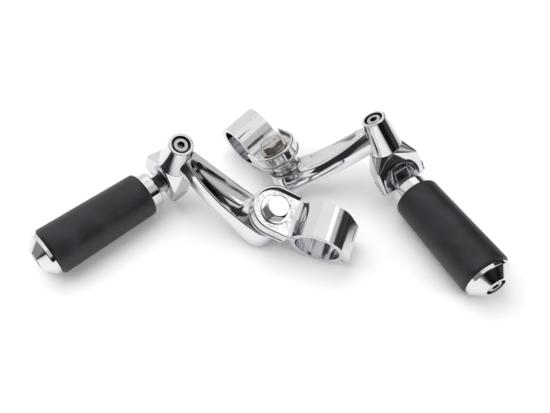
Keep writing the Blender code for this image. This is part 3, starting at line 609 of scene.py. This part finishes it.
def beam_section(arm, x):
    """Closed section of the beam at x: dished top with round rims, leaning walls, round lower edges."""
    straight_end = BEAM_PEG_SIDE[-1][0] * MM
    closing = max(x - straight_end, 0.0) / (arm.foot_end - straight_end)
    share_left = max(math.sqrt(max(1.0 - closing ** 2, 0.0)), FOOT_SHARE)
    at = min(x, straight_end)
    near, far = line_at(BEAM_PEG_SIDE, at), line_at(BEAM_FAR_SIDE, at)
    middle, half = (near + far) / 2, (far - near) / 2 * share_left
    top, bottom = line_at(BEAM_TOP, x), line_at(BEAM_BOTTOM, x)
    far_top = top - line_at(BEAM_TILT, x)
    near_top = middle - half + NEAR_LEAN * (top - BEAM_MIDDLE) - line_at(BEAM_RIM_OUT, x)
    far_top_y = middle + half - FAR_LEAN * (far_top - BEAM_MIDDLE)
    near_foot = middle - half + NEAR_LEAN * (bottom - BEAM_MIDDLE)
    far_foot = middle + half - FAR_LEAN * (bottom - BEAM_MIDDLE)
    width = far_top_y - near_top
    along = min(max((x - arm.dish_start) / (arm.dish_end - arm.dish_start), 0.0), 1.0)
    dish = arm.dish * min(1.0, DISH_STEEPNESS * math.sin(math.pi * along))
    shelf = min(line_at(BEAM_SHELF, x), width / 3)
    fall = (far_top - top) / width
    points = arc(near_top + NEAR_SOFT, top - NEAR_SOFT, NEAR_SOFT, RIM_TURN, 90, 6)
    for step in range(DISH_STEPS + 1):
        share = step / DISH_STEPS
        across = NEAR_SOFT + arm.rim + (width - NEAR_SOFT - arm.rim - shelf) * share
        sag = dish * math.sin(math.pi * share ** DISH_SKEW)
        points.append((near_top + across, top + fall * across - sag))
    border = 0.6 * shelf
    points.append((far_top_y - border, far_top - fall * border))
    points += arc(far_top_y - FAR_SOFT, far_top - FAR_SOFT, FAR_SOFT, 90, 0, 3)
    radius = min(arm.corner, (far_foot - near_foot) / 3)
    points += arc(far_foot - radius, bottom + radius, radius, 0, -90, 8)
    points += arc(near_foot + radius, bottom + radius, radius, -90, FOOT_TURN, 8)
    low, high = bottom + radius, top - NEAR_SOFT
    for step in range(1, WALL_STEPS):
        rise = step / WALL_STEPS
        points.append((near_foot + (near_top - near_foot) * rise - arm.bulge * math.sin(math.pi * rise),
                       low + (high - low) * rise))
    return [Vector((x, y, z)) for y, z in points]


def beam_form(arm, stations=72):
    """The beam, bridged through its sections, which crowd together where the foot closes."""
    bm = bmesh.new()
    loops = []
    for station in range(stations + 1):
        x = arm.foot_end * math.sin(station / stations * math.pi / 2)
        ring = [bm.verts.new(point) for point in beam_section(arm, x)]
        loops.append(ring)
        for k, vert in enumerate(ring):
            bm.edges.new((vert, ring[(k + 1) % len(ring)]))
    bmesh.ops.bridge_loops(bm, edges=bm.edges[:])
    bm.faces.new(loops[0])
    bm.faces.new(loops[-1])
    bmesh.ops.recalc_face_normals(bm, faces=bm.faces)
    return bm


def neck_form(arm):
    """The turned neck: flange, waist, hollow flare and a foot that ends inside the beam."""
    top, edge, undercut = -arm.neck_top, 0.6 * MM, 1.5 * MM
    flare_radius, flare_out, flare_up = 4.0 * MM, 1.0 * MM, 5.5 * MM
    foot_height, base = 4 * MM, -30 * MM
    rim, under = arm.flange_radius - edge, top - arm.flange_height
    flare = arc(arm.foot_radius + flare_out, NECK_FOOT + flare_up, flare_radius, 180, 250, 8)
    return spun([(0, top)] + arc(rim, top - edge, edge, 90, 0, 4)
                + [(arm.flange_radius, under), (arm.neck_radius, under - undercut)] + flare
                + [(arm.foot_radius, NECK_FOOT), (arm.foot_radius, NECK_FOOT - foot_height),
                   (arm.neck_radius, base), (0, base)])


def make_arm(side):
    """The arm casting, with its screw seat and the bolt's hole."""
    scene = bpy.context.scene
    arm = scene.peg_arm
    barrel_edge, seat_edge, beam_start = 0.6 * MM, 0.15 * MM, 1.0 * MM
    hole_end, hole_tip = -26 * MM, -28 * MM
    barrel = spun([(0, 0), (arm.top_radius, 0), (arm.bottom_radius, -arm.height), (0, -arm.height)])
    thing = shaped(ease(barrel, barrel_edge, 4), side.bracket, f"{side.name}_arm_casting")
    combine(thing, "UNION", [moved(beam_form(arm), x=beam_start), moved(neck_form(arm), x=side.reach)],
            side.bracket)
    shank, bore = scene.peg_sizes.screw_shank + GAP, scene.peg_clamp.bolt_shank + GAP
    seat = spun([(0, 2 * PAST), (arm.seat_radius, 2 * PAST), (arm.seat_radius, -arm.seat_depth),
                 (shank, -arm.seat_depth), (shank, -arm.height - PAST), (0, -arm.height - PAST)])
    start = PAST - arm.neck_top
    hole = spun([(0, start), (bore, start), (bore, hole_end), (0, hole_tip)])
    combine(thing, "DIFFERENCE", [ease(seat, seat_edge), moved(hole, x=side.reach)], side.bracket)
    finished(thing, "brackets", "chrome", f"{side.name}_arm")


def screw_form(sizes, long, sink=0.0):
    """Cap screw about Z with its head's top face at the sink."""
    edge, under = 0.45 * MM, sink - SCREW_HEAD
    return spun([(0, sink), (sizes.screw_head - edge, sink), (sizes.screw_head, sink - edge),
                 (sizes.screw_head, under), (sizes.screw_shank, under),
                 (sizes.screw_shank, sink - long), (0, sink - long)])


def socket_form(sizes, turn, sink=0.0):
    """Cutter for the hexagon socket, as its screw happens to stand."""
    return prism(hexagon(sizes.screw_flats, turn), sink - SOCKET_DEPTH, sink + PAST)


def make_swivel_screw(side):
    arm, sizes = bpy.context.scene.peg_arm, bpy.context.scene.peg_sizes
    sink, below_seat, turn = -0.7 * MM, 9.3 * MM, 12
    thing = shaped(screw_form(sizes, arm.height + below_seat, sink), side.bracket,
                   f"{side.name}_swivel_cap_screw")
    combine(thing, "DIFFERENCE", [socket_form(sizes, turn, sink)], side.bracket)
    finished(thing, "brackets", "fastener_steel", f"{side.name}_swivel_screw")


def make_cap_screw(side):
    sizes = bpy.context.scene.peg_sizes
    long, turn = 18 * MM, 8
    face = sizes.rubber_end + sizes.cap_band + sizes.cap_cone
    top = face - sizes.cap_recess_depth + SCREW_HEAD + GAP
    screw, socket = (moved(turned(form, 1, "Y"), x=top, z=-sizes.drop)
                     for form in (screw_form(sizes, long), socket_form(sizes, turn)))
    thing = shaped(screw, side.peg, f"{side.name}_cap_retaining_screw")
    combine(thing, "DIFFERENCE", [socket], side.peg)
    finished(thing, f"{side.name}_peg", "fastener_steel", f"{side.name}_end_cap_screw")


def make_socket_screws(side):
    make_swivel_screw(side)
    make_cap_screw(side)


def horseshoe(radius, leg, steps=64):
    """Outline open towards the tube: a half round and two straight legs."""
    return arc(0, 0, radius, 90, 270, steps) + [(leg, -radius), (leg, radius)]


def half_clamp(clamp, ear_start, ear_low, ear_high, step_x, fillet):
    """Outline of half a clamp, in X and height off the parting plane: ear, step, ring, lug and fillet."""
    bore, outer = clamp.tube / 2, clamp.tube / 2 + clamp.wall
    apart, meet = clamp.split_open / 2, GAP / 2
    start, stop = (math.degrees(math.asin(height / bore)) for height in (apart, meet))
    points = [(ear_start, ear_low), (step_x, ear_low), (step_x, apart)]
    points += arc(clamp.reach, 0, bore, 180 - start, stop, 72)
    points += [(clamp.lip, meet), (clamp.lip, apart), (clamp.lug, apart)]
    lug_x, lug_r, lug_z = clamp.lug - clamp.lug_round, clamp.lug_round, clamp.lug_height
    away = math.hypot(lug_x - clamp.reach, lug_z)
    touch = math.degrees(math.atan2(lug_z, lug_x - clamp.reach) + math.acos((outer - lug_r) / away))
    points += arc(lug_x, lug_z, lug_r, 0, touch, 12)
    fillet_z = ear_high + fillet
    fillet_x = clamp.reach - math.sqrt((outer + fillet) ** 2 - fillet_z ** 2)
    lean = math.degrees(math.atan2(fillet_z, clamp.reach - fillet_x))
    points += arc(clamp.reach, 0, outer, touch, 180 - lean, 48)
    points += arc(fillet_x, fillet_z, fillet, -lean, -90, 12)[1:]
    return points + [(ear_start, ear_high)]


def tongue_form(clamp, outer, low, clearance):
    """The tongue, or with a clearance the notch that takes it."""
    inner = clamp.lug - TONGUE_INNER - clearance
    high = clamp.split + clamp.split_open
    outline = [(inner, low), (outer, low), (outer, high), (inner, high)]
    return moved(slab(outline, clamp.tongue + 2 * clearance), y=clamp.tongue_off)


def cup_form(clamp, bottom):
    """The cup before it is hollowed, round at its foot and softer at its rim."""
    foot_round, rim_round = 4.2 * MM, 1.2 * MM
    cup = prism(horseshoe(clamp.cup_radius, clamp.cup_leg), bottom, clamp.cup_rim)
    level = [edge for edge in cup.edges if abs(edge.verts[0].co.z - edge.verts[1].co.z) < GAP]
    foot = [edge for edge in level if edge.verts[0].co.z < 0]
    rim = [edge for edge in level if edge.verts[0].co.z > 0]
    round_off(cup, foot, foot_round, 6)
    round_off(cup, rim, rim_round, 6)
    return cup


def make_clamp_lower(side):
    """The lower half: the cup round the bolt, and half the ring with the notch."""
    clamp, arm = bpy.context.scene.peg_clamp, bpy.context.scene.peg_arm
    ledge, fillet = 0.8 * MM, 3.0 * MM
    floor = clamp.split - clamp.ear_drop - GAP / 2
    bottom = -arm.neck_top + GAP
    thing = shaped(cup_form(clamp, bottom), side.clamp, f"{side.name}_clamp_cup")
    band = prism(horseshoe(clamp.cup_radius + clamp.cup_step, clamp.cup_leg - GAP), bottom + ledge,
                 bottom + clamp.cup_step_height)
    ease(band, 0.9 * MM, 5, 50)
    outline = half_clamp(clamp, 0, clamp.split - floor, clamp.split - bottom - ledge,
                         clamp.ear_step + GAP / 2, fillet)
    ring = ease(slab(outline, clamp.width), 0.35 * MM, 3, 50)
    bmesh.ops.scale(ring, verts=ring.verts, vec=(1, 1, -1))
    bmesh.ops.reverse_faces(ring, faces=ring.faces)
    combine(thing, "UNION", [band, moved(ring, z=clamp.split)], side.clamp)
    hollow = prism(horseshoe(clamp.cup_radius - clamp.cup_wall, clamp.cup_leg + PAST), floor,
                   clamp.cup_rim + PAST)
    hole = rod(clamp.bolt_shank + GAP, bottom - PAST, floor + PAST)
    notch = tongue_form(clamp, clamp.lug + 2 * PAST, clamp.split - clamp.tongue_down - 2 * GAP, 2 * GAP)
    combine(thing, "DIFFERENCE", [hollow, hole, notch], side.clamp)
    finished(thing, f"{side.name}_clamp", "chrome", f"{side.name}_clamp_lower")


def tab_lines(clamp):
    """Narrow grooves round three sides of the tab on the hooked end."""
    turn, line = math.radians(clamp.tab_angle), clamp.tab_line
    out, along = Vector((math.cos(turn), math.sin(turn))), Vector((-math.sin(turn), math.cos(turn)))
    middle = Vector((clamp.lug - clamp.lug_round, clamp.split + clamp.lug_height)) + out * clamp.lug_round
    grooves = []
    for run, width, offset in ((line, clamp.tongue, 0), (clamp.tab_side, line, 1),
                               (clamp.tab_side, line, -1)):
        corners = [middle + along * reach + out * height for reach, height in
                   ((0, -line), (run, -line), (run, PAST), (0, PAST))]
        grooves.append(moved(slab(corners, width), y=clamp.tongue_off + offset * clamp.tongue / 2))
    return grooves


def make_clamp_upper(side):
    """The upper half: the ear under the bolt, and half the ring with the tongue and the tab's lines."""
    clamp = bpy.context.scene.peg_clamp
    fillet, shoulder, edge = 5.0 * MM, 3 * MM, 0.35 * MM
    under, over = -10 * MM, 30 * MM
    ear_r = clamp.cup_radius - clamp.cup_wall - GAP
    low = -clamp.ear_drop + GAP / 2
    outline = half_clamp(clamp, -ear_r - PAST, low, low + clamp.ear, clamp.ear_step - GAP / 2, fillet)
    body = moved(slab(outline, 2 * clamp.cup_radius), z=clamp.split)
    thing = shaped(body, side.clamp, f"{side.name}_clamp_cover")
    half, leg, end = clamp.width / 2, clamp.cup_leg, clamp.lug + PAST
    plan = arc(0, 0, ear_r, 90, 270, 64)
    plan += [(leg, -ear_r), (leg + shoulder, -half), (end, -half), (end, half), (leg + shoulder, half),
             (leg, ear_r)]
    combine(thing, "INTERSECT", [prism(plan, under, over)], side.clamp)
    soft = thing.modifiers.new("soft_edges", "BEVEL")
    soft.width, soft.segments, soft.limit_method, soft.angle_limit = edge, 3, "ANGLE", math.radians(50)
    settle(thing)
    tongue = tongue_form(clamp, clamp.lug - TONGUE_OUTER, clamp.split - clamp.tongue_down, 0)
    combine(thing, "UNION", [tongue], side.clamp)
    hole = rod(clamp.bolt_shank + GAP, under, -under)
    combine(thing, "DIFFERENCE", [hole] + tab_lines(clamp), side.clamp)
    finished(thing, f"{side.name}_clamp", "chrome", f"{side.name}_clamp_upper")


def ear_top(clamp):
    return clamp.split - clamp.ear_drop + GAP / 2 + clamp.ear


def make_clamp_bolt(side):
    """Hexagon head with crowned corners, and its shank."""
    clamp = bpy.context.scene.peg_clamp
    turn, crown_down, crown_in, over = 20, 1.7 * MM, 1.9 * MM, 0.05 * MM
    seat = ear_top(clamp) + clamp.washer_height + 2 * GAP
    top, end = seat + clamp.bolt_head, seat - clamp.bolt_length
    head = ease(prism(hexagon(clamp.bolt_flats, turn), seat, top), 0.3 * MM, 3, 40)
    thing = shaped(head, side.clamp, f"{side.name}_hexagon_bolt")
    corner, shank = clamp.bolt_flats / math.sqrt(3), clamp.bolt_shank
    crown = spun([(0, seat - PAST), (corner + PAST, seat - PAST), (corner + PAST, top - crown_down),
                  (corner - crown_in, top + over), (0, top + over)])
    combine(thing, "INTERSECT", [crown], side.clamp)
    bar = spun([(0, seat + PAST), (shank, seat + PAST), (shank, end + PAST), (shank - PAST, end), (0, end)])
    combine(thing, "UNION", [bar], side.clamp)
    finished(thing, f"{side.name}_clamp", "tarnished_steel", f"{side.name}_clamp_bolt")


def make_clamp_washer(side):
    clamp = bpy.context.scene.peg_clamp
    inner, low = clamp.bolt_shank + GAP, ear_top(clamp) + GAP
    high = low + clamp.washer_height
    ring = ease(spun([(inner, low), (clamp.washer, low), (clamp.washer, high), (inner, high)]), 0.25 * MM)
    thing = shaped(ring, side.clamp, f"{side.name}_plain_washer")
    finished(thing, f"{side.name}_clamp", "tarnished_steel", f"{side.name}_clamp_washer")


def make_bolt_set(side):
    make_clamp_bolt(side)
    make_clamp_washer(side)


def clevis_form(clevis, arm, pin_z):
    """The block: a hull round the barrel's seat, both ears and the brow over the scoop."""
    seat_points, brow_half, brow_drop = 48, 8 * MM, 7 * MM
    shoulder_front, shoulder_back = -38 * MM, -43 * MM
    lobe = arc(clevis.pin_reach, pin_z, clevis.lobe, -10, -170, 20)
    ear = [(clevis.front, shoulder_front)] + lobe + [(clevis.pin_reach - clevis.lobe, shoulder_back)]
    bm = bmesh.new()
    for x, y in arc(0, 0, arm.bottom_radius, 0, 360 - 360 / seat_points, seat_points - 1):
        bm.verts.new((x, y, -arm.height - GAP))
    for hand in (1, -1):
        for x, z in ear:
            bm.verts.new((x, hand * clevis.half_width, z))
        bm.verts.new((clevis.front, hand * brow_half, -arm.height - brow_drop))
    bmesh.ops.convex_hull(bm, input=bm.verts)
    bmesh.ops.delete(bm, geom=[vert for vert in bm.verts if not vert.link_faces], context="VERTS")
    bmesh.ops.dissolve_limit(bm, angle_limit=math.radians(1), verts=bm.verts, edges=bm.edges)
    bmesh.ops.recalc_face_normals(bm, faces=bm.faces)
    under_seat = -arm.height - 2 * MM
    edges = [edge for edge in sharp_edges(bm, 25) if min(vert.co.z for vert in edge.verts) < under_seat]
    round_off(bm, edges, clevis.edge, 5)
    return bm


def make_clevis(side):
    """The clevis, with the slot for the tang, the scoop and the pin's way."""
    clevis, arm = bpy.context.scene.peg_clevis, bpy.context.scene.peg_arm
    pin_z = -arm.height - clevis.pin_drop
    back, front, under = -20 * MM, clevis.front + 9 * MM, pin_z - 20 * MM
    thing = shaped(clevis_form(clevis, arm, pin_z), side.clevis, f"{side.name}_clevis_block")
    ceiling, floor = -clevis.slot_top, clevis.front - clevis.scoop_depth
    slot = slab([(back, ceiling), (front, ceiling), (front, under), (back, under)], clevis.slot)
    spread = (clevis.scoop - clevis.scoop_inner) / clevis.scoop_depth * PAST
    scoop = spun([(0, floor), (clevis.scoop_inner, floor), (clevis.scoop + spread, clevis.front + PAST),
                  (0, clevis.front + PAST)])
    wide, pin, head = clevis.half_width, clevis.pin + GAP, clevis.pin_head + GAP
    step = wide - PIN_HEAD - GAP
    way = spun([(0, -wide - PAST), (pin, -wide - PAST), (pin, step), (head, step), (head, wide + PAST),
                (0, wide + PAST)], PIN_ROUND)
    combine(thing, "DIFFERENCE", [slot, moved(turned(scoop, 1, "Y"), z=pin_z + clevis.scoop_up),
                                  moved(turned(way, -1, "X"), x=clevis.pin_reach, z=pin_z)], side.clevis)
    finished(thing, f"{side.name}_clevis", "chrome", f"{side.name}_clevis")


def make_pin(side):
    """The pivot pin and its retaining ring."""
    clevis, arm = bpy.context.scene.peg_clevis, bpy.context.scene.peg_arm
    wide, pin, head = clevis.half_width, clevis.pin, clevis.pin_head
    stub, edge, head_side, head_edge, crown = 2.2 * MM, 0.4 * MM, 0.5 * MM, 0.8 * MM, 0.2 * MM
    groove, groove_end, end = pin - 0.6 * MM, -wide - 1.4 * MM, -wide - stub
    bar = spun([(0, end), (pin - edge, end), (pin, end + edge), (pin, groove_end), (groove, groove_end),
                (groove, -wide - GAP), (pin, -wide - GAP), (pin, wide - PIN_HEAD), (head, wide - PIN_HEAD),
                (head, wide - head_side), (head - head_edge, wide), (0, wide + crown)], PIN_ROUND)
    outer, inner, half_mouth, thick = 6.2 * MM, groove + 0.15 * MM, 1.7 * MM, 0.9 * MM
    low = -wide - 1.3 * MM
    turn_in, turn_out = (math.degrees(math.asin(half_mouth / radius)) for radius in (inner, outer))
    outline = arc(0, 0, outer, turn_out, 360 - turn_out, 60) + arc(0, 0, inner, 360 - turn_in, turn_in, 60)
    ring = ease(prism(outline, low, low + thick), 0.12 * MM, 2, 50)
    for form, name, node in ((bar, "hinge_pin", "pivot_pin"), (ring, "retaining_ring", "pin_clip")):
        form = moved(turned(form, -1, "X"), x=clevis.pin_reach, z=-arm.height - clevis.pin_drop)
        thing = shaped(form, side.clevis, f"{side.name}_{name}")
        finished(thing, f"{side.name}_clevis", "fastener_steel", f"{side.name}_{node}")


def make_core(side):
    """Collar, shaft and tang of the peg."""
    scene = bpy.context.scene
    sizes, clevis, arm = scene.peg_sizes, scene.peg_clevis, scene.peg_arm
    rim_in, rim_half = 0.5 * MM, 0.3 * MM
    hole_depth, hole_tip, heel_gap = 18 * MM, 19 * MM, 0.6 * MM
    heel_back, heel_front, heel_toe = -2 * MM, 5.5 * MM, 7 * MM
    end, screw = sizes.rubber_end - GAP, sizes.screw_shank + GAP
    body = spun([(0, sizes.collar_back), (sizes.collar_small, sizes.collar_back),
                 (sizes.collar - rim_in, sizes.collar_start - rim_half),
                 (sizes.collar, sizes.collar_start + rim_half),
                 (sizes.collar, sizes.rubber_start), (sizes.core, sizes.rubber_start), (sizes.core, end),
                 (screw, end), (screw, end - hole_depth), (0, end - hole_tip)])
    ease(body, 0.3 * MM, 3, 24)
    thing = shaped(moved(turned(body, 1, "Y"), z=-sizes.drop), side.peg, f"{side.name}_peg_bar")
    heel = arm.height + clevis.pin_drop - clevis.slot_top - heel_gap
    tang_end, tang_top = sizes.collar_back + MM, sizes.collar_small - sizes.drop
    outline = arc(0, 0, sizes.tang_radius, 130, 250, 24) + [
        (tang_end, -sizes.drop - sizes.tang_radius), (tang_end, tang_top), (heel_toe, tang_top),
        (heel_front, heel), (heel_back, heel)]
    combine(thing, "UNION", [ease(slab(outline, sizes.tang), 0.4 * MM, 3, 40)], side.peg)
    hole = rod(clevis.pin + GAP, -sizes.tang, sizes.tang, PIN_ROUND)
    combine(thing, "DIFFERENCE", [turned(hole, -1, "X")], side.peg)
    finished(thing, f"{side.name}_peg", "chrome", f"{side.name}_peg_core")


def make_sleeve(side):
    """The rubber sleeve, with bare sides."""
    sizes = bpy.context.scene.peg_sizes
    low, high, edge = sizes.rubber_start + GAP, sizes.rubber_end - GAP, sizes.rubber_edge
    start = arc(low + edge, sizes.rubber_inner - edge, edge, 180, 90, 10)
    stop = arc(high - edge, sizes.rubber_outer - edge, edge, 90, 0, 10)
    bore = sizes.core + GAP
    sleeve = spun([(radius, t) for t, radius in start + stop] + [(bore, high), (bore, low)], SLEEVE_ROUND)
    thing = shaped(moved(turned(sleeve, 1, "Y"), z=-sizes.drop), side.peg, f"{side.name}_rubber_grip")
    finished(thing, f"{side.name}_peg", "rubber", f"{side.name}_rubber_sleeve")


def make_end_cap(side):
    sizes = bpy.context.scene.peg_sizes
    low = sizes.rubber_end
    cone = low + sizes.cap_band
    face = cone + sizes.cap_cone
    floor = face - sizes.cap_recess_depth
    shank = sizes.screw_shank + GAP
    cap = spun([(shank, low), (sizes.cap, low), (sizes.cap, cone), (sizes.cap_face, face),
                (sizes.cap_recess, face), (sizes.cap_recess, floor), (shank, floor)])
    ease(cap, 0.35 * MM, 4, 24)
    thing = shaped(moved(turned(cap, 1, "Y"), z=-sizes.drop), side.peg, f"{side.name}_cone_cap")
    finished(thing, f"{side.name}_peg", "chrome", f"{side.name}_end_cap")


def dress_nodes():
    """The spring washers, hidden in the slots, keep their own solids."""
    for node in frame["nodes"].values():
        if not node.hide_render:
            node.data.materials.clear()
            node.data.materials.append(material("fastener_steel"))


def make_camera():
    """The camera that took the photograph, worked out from both pegs' outlines."""
    focal, wide = 507.8, 550.0   # in pixels
    sensor = 36.0
    elevation, roll, distance = math.radians(49.815), math.radians(1.191), 0.397
    target = Vector((0.008055, 0.00438, 0.0007))
    camera = bpy.data.objects.new("camera", bpy.data.cameras.new("camera"))
    bpy.context.scene.collection.objects.link(camera)
    camera.data.sensor_width = sensor
    camera.data.lens = sensor * focal / wide
    camera.data.clip_start = 0.01
    back = Vector((0, -math.cos(elevation), math.sin(elevation)))
    camera.location = target + back * distance
    turn = back.to_track_quat("Z", "Y").to_matrix() @ Matrix.Rotation(-roll, 3, "Z")
    camera.rotation_euler = turn.to_euler()
    bpy.context.scene.camera = camera


def add_lamp(name, place, size, power):
    lamp = bpy.data.lights.new(name, "AREA")
    lamp.shape = "RECTANGLE"
    lamp.size, lamp.size_y = size
    lamp.energy = power
    thing = bpy.data.objects.new(name, lamp)
    bpy.context.scene.collection.objects.link(thing)
    thing.location = place
    thing.rotation_euler = (Vector(place) - Vector(LAMPS_AIM)).to_track_quat("Z", "Y").to_euler()
    thing.visible_glossy = False


def make_surroundings():
    """Plain white for the camera, plain light on the pieces, and a room of cards for the plate to mirror."""
    world = bpy.data.worlds.new("studio")
    bpy.context.scene.world = world
    nodes = Nodes(world)
    x, y, z = (nodes.place("Generated").part(axis) for axis in "XYZ")
    turn = nodes.maths("ARCTAN2", x, y) * math.degrees(1)
    rise = nodes.maths("ARCSINE", z) * math.degrees(1)
    level = ROOM_LEVEL
    for middle, half, low, high, bright, soft in ROOM_CARDS:
        away = nodes.maths("ABSOLUTE", nodes.maths("WRAP", turn - middle, 180, -180))
        mask = (away.between(half + soft, half) * rise.between(low - soft, low)
                * rise.between(high + soft, high))
        level = mask * (bright ** SHOWN_POWER / CHROME_SHARE - level) + level
    light = nodes.ray("Glossy") * (level - PLAIN_LEVEL) + PLAIN_LEVEL
    background = nodes.tree.nodes["Background"]
    background.inputs["Color"].default_value = WHITE
    feed(nodes.tree, background.inputs["Strength"], nodes.ray("Camera") * (1 - light) + light)


def make_floor():
    """The floor, which the camera sees as almost white, and wholly so further out."""
    half_size, glow, glow_out = 3.0, 0.05, 0.6
    grid = bmesh.new()
    bmesh.ops.create_grid(grid, x_segments=1, y_segments=1, size=half_size)
    thing = shaped(grid, Matrix.Identity(4), "floor")
    finish = Finish("floor")
    away = finish.node("ShaderNodeVectorMath", {"operation": "LENGTH"}, {0: finish.place()}, "Value")
    share = finish.ray("Camera") * (away.between(0.15, 1.5) * glow_out + glow)
    finish.set(Base_Color=rgba(bpy.context.scene.peg_colours.floor), Roughness=0.9,
               Emission_Color=finish.mix(share, BLACK, WHITE), Emission_Strength=1.0)
    thing.data.materials.append(finish.material)


def on_both_sides(*makers):
    """Make pieces for the left peg and the right one."""
    for make in makers:
        for name, hand in SIDES:
            make(Side(name, hand))
    return {"FINISHED"}


class PEGS_OT_arms(bpy.types.Operator):
    """Build the chrome arms with their barrels and necks"""
    bl_idname = "pegs.arms"
    bl_label = "Arms"
    bl_options = {"REGISTER", "UNDO"}

    def execute(self, context):
        return on_both_sides(make_arm)


class PEGS_OT_clamps(bpy.types.Operator):
    """Build both halves of the tube clamps"""
    bl_idname = "pegs.clamps"
    bl_label = "Clamps"
    bl_options = {"REGISTER", "UNDO"}

    def execute(self, context):
        return on_both_sides(make_clamp_lower, make_clamp_upper)


class PEGS_OT_clamp_bolts(bpy.types.Operator):
    """Build the clamp bolts and their washers"""
    bl_idname = "pegs.clamp_bolts"
    bl_label = "Clamp bolts"
    bl_options = {"REGISTER", "UNDO"}

    def execute(self, context):
        return on_both_sides(make_bolt_set)


class PEGS_OT_socket_screws(bpy.types.Operator):
    """Build the socket screws of the barrels and end caps"""
    bl_idname = "pegs.socket_screws"
    bl_label = "Socket screws"
    bl_options = {"REGISTER", "UNDO"}

    def execute(self, context):
        return on_both_sides(make_socket_screws)


class PEGS_OT_clevises(bpy.types.Operator):
    """Build the clevises with their pins and retaining rings"""
    bl_idname = "pegs.clevises"
    bl_label = "Clevises"
    bl_options = {"REGISTER", "UNDO"}

    def execute(self, context):
        return on_both_sides(make_clevis, make_pin)


class PEGS_OT_peg_bars(bpy.types.Operator):
    """Build the pegs' collars, shafts and tangs"""
    bl_idname = "pegs.peg_bars"
    bl_label = "Peg bars"
    bl_options = {"REGISTER", "UNDO"}

    def execute(self, context):
        return on_both_sides(make_core)


class PEGS_OT_sleeves(bpy.types.Operator):
    """Build the rubber sleeves"""
    bl_idname = "pegs.sleeves"
    bl_label = "Rubber sleeves"
    bl_options = {"REGISTER", "UNDO"}

    def execute(self, context):
        return on_both_sides(make_sleeve)


class PEGS_OT_end_caps(bpy.types.Operator):
    """Build the chrome end caps"""
    bl_idname = "pegs.end_caps"
    bl_label = "End caps"
    bl_options = {"REGISTER", "UNDO"}

    def execute(self, context):
        return on_both_sides(make_end_cap)


class PEGS_OT_stage(bpy.types.Operator):
    """Set the floor, lights and camera, and dress what is left of the solids"""
    bl_idname = "pegs.stage"
    bl_label = "Stage"
    bl_options = {"REGISTER", "UNDO"}

    def execute(self, context):
        dress_nodes()
        make_floor()
        make_surroundings()
        for lamp in LAMPS:
            add_lamp(*lamp)
        context.scene.view_settings.view_transform = "Standard"
        make_camera()
        return {"FINISHED"}


OPERATORS = (PEGS_OT_arms, PEGS_OT_clamps, PEGS_OT_clamp_bolts, PEGS_OT_socket_screws, PEGS_OT_clevises,
             PEGS_OT_peg_bars, PEGS_OT_sleeves, PEGS_OT_end_caps, PEGS_OT_stage)


class PEGS_PT_panel(bpy.types.Panel):
    """The sizes and the pieces, in the 3D view's sidebar"""
    bl_label = "Highway pegs"
    bl_idname = "PEGS_PT_panel"
    bl_space_type = "VIEW_3D"
    bl_region_type = "UI"
    bl_category = "Pegs"

    def draw(self, context):
        for name, kind in GROUPS.items():
            box = self.layout.box()
            for setting in kind.__annotations__:
                box.prop(getattr(context.scene, name), setting)
        for operator in OPERATORS:
            self.layout.operator(operator.bl_idname)


GROUPS = {"peg_arm": ArmSizes, "peg_clamp": ClampSizes, "peg_clevis": ClevisSizes, "peg_sizes": PegSizes,
          "peg_colours": PegColours}
CLASSES = (*GROUPS.values(), *OPERATORS, PEGS_PT_panel)


def register():
    for kind in CLASSES:
        bpy.utils.register_class(kind)
    for name, kind in GROUPS.items():
        setattr(bpy.types.Scene, name, bpy.props.PointerProperty(type=kind))


def unregister():
    for name in GROUPS:
        delattr(bpy.types.Scene, name)
    for kind in reversed(CLASSES):
        bpy.utils.unregister_class(kind)


def main():
    register()
    for operator in OPERATORS:
        group, call = operator.bl_idname.split(".")
        getattr(getattr(bpy.ops, group), call)()


if __name__ == "__main__":
    main()
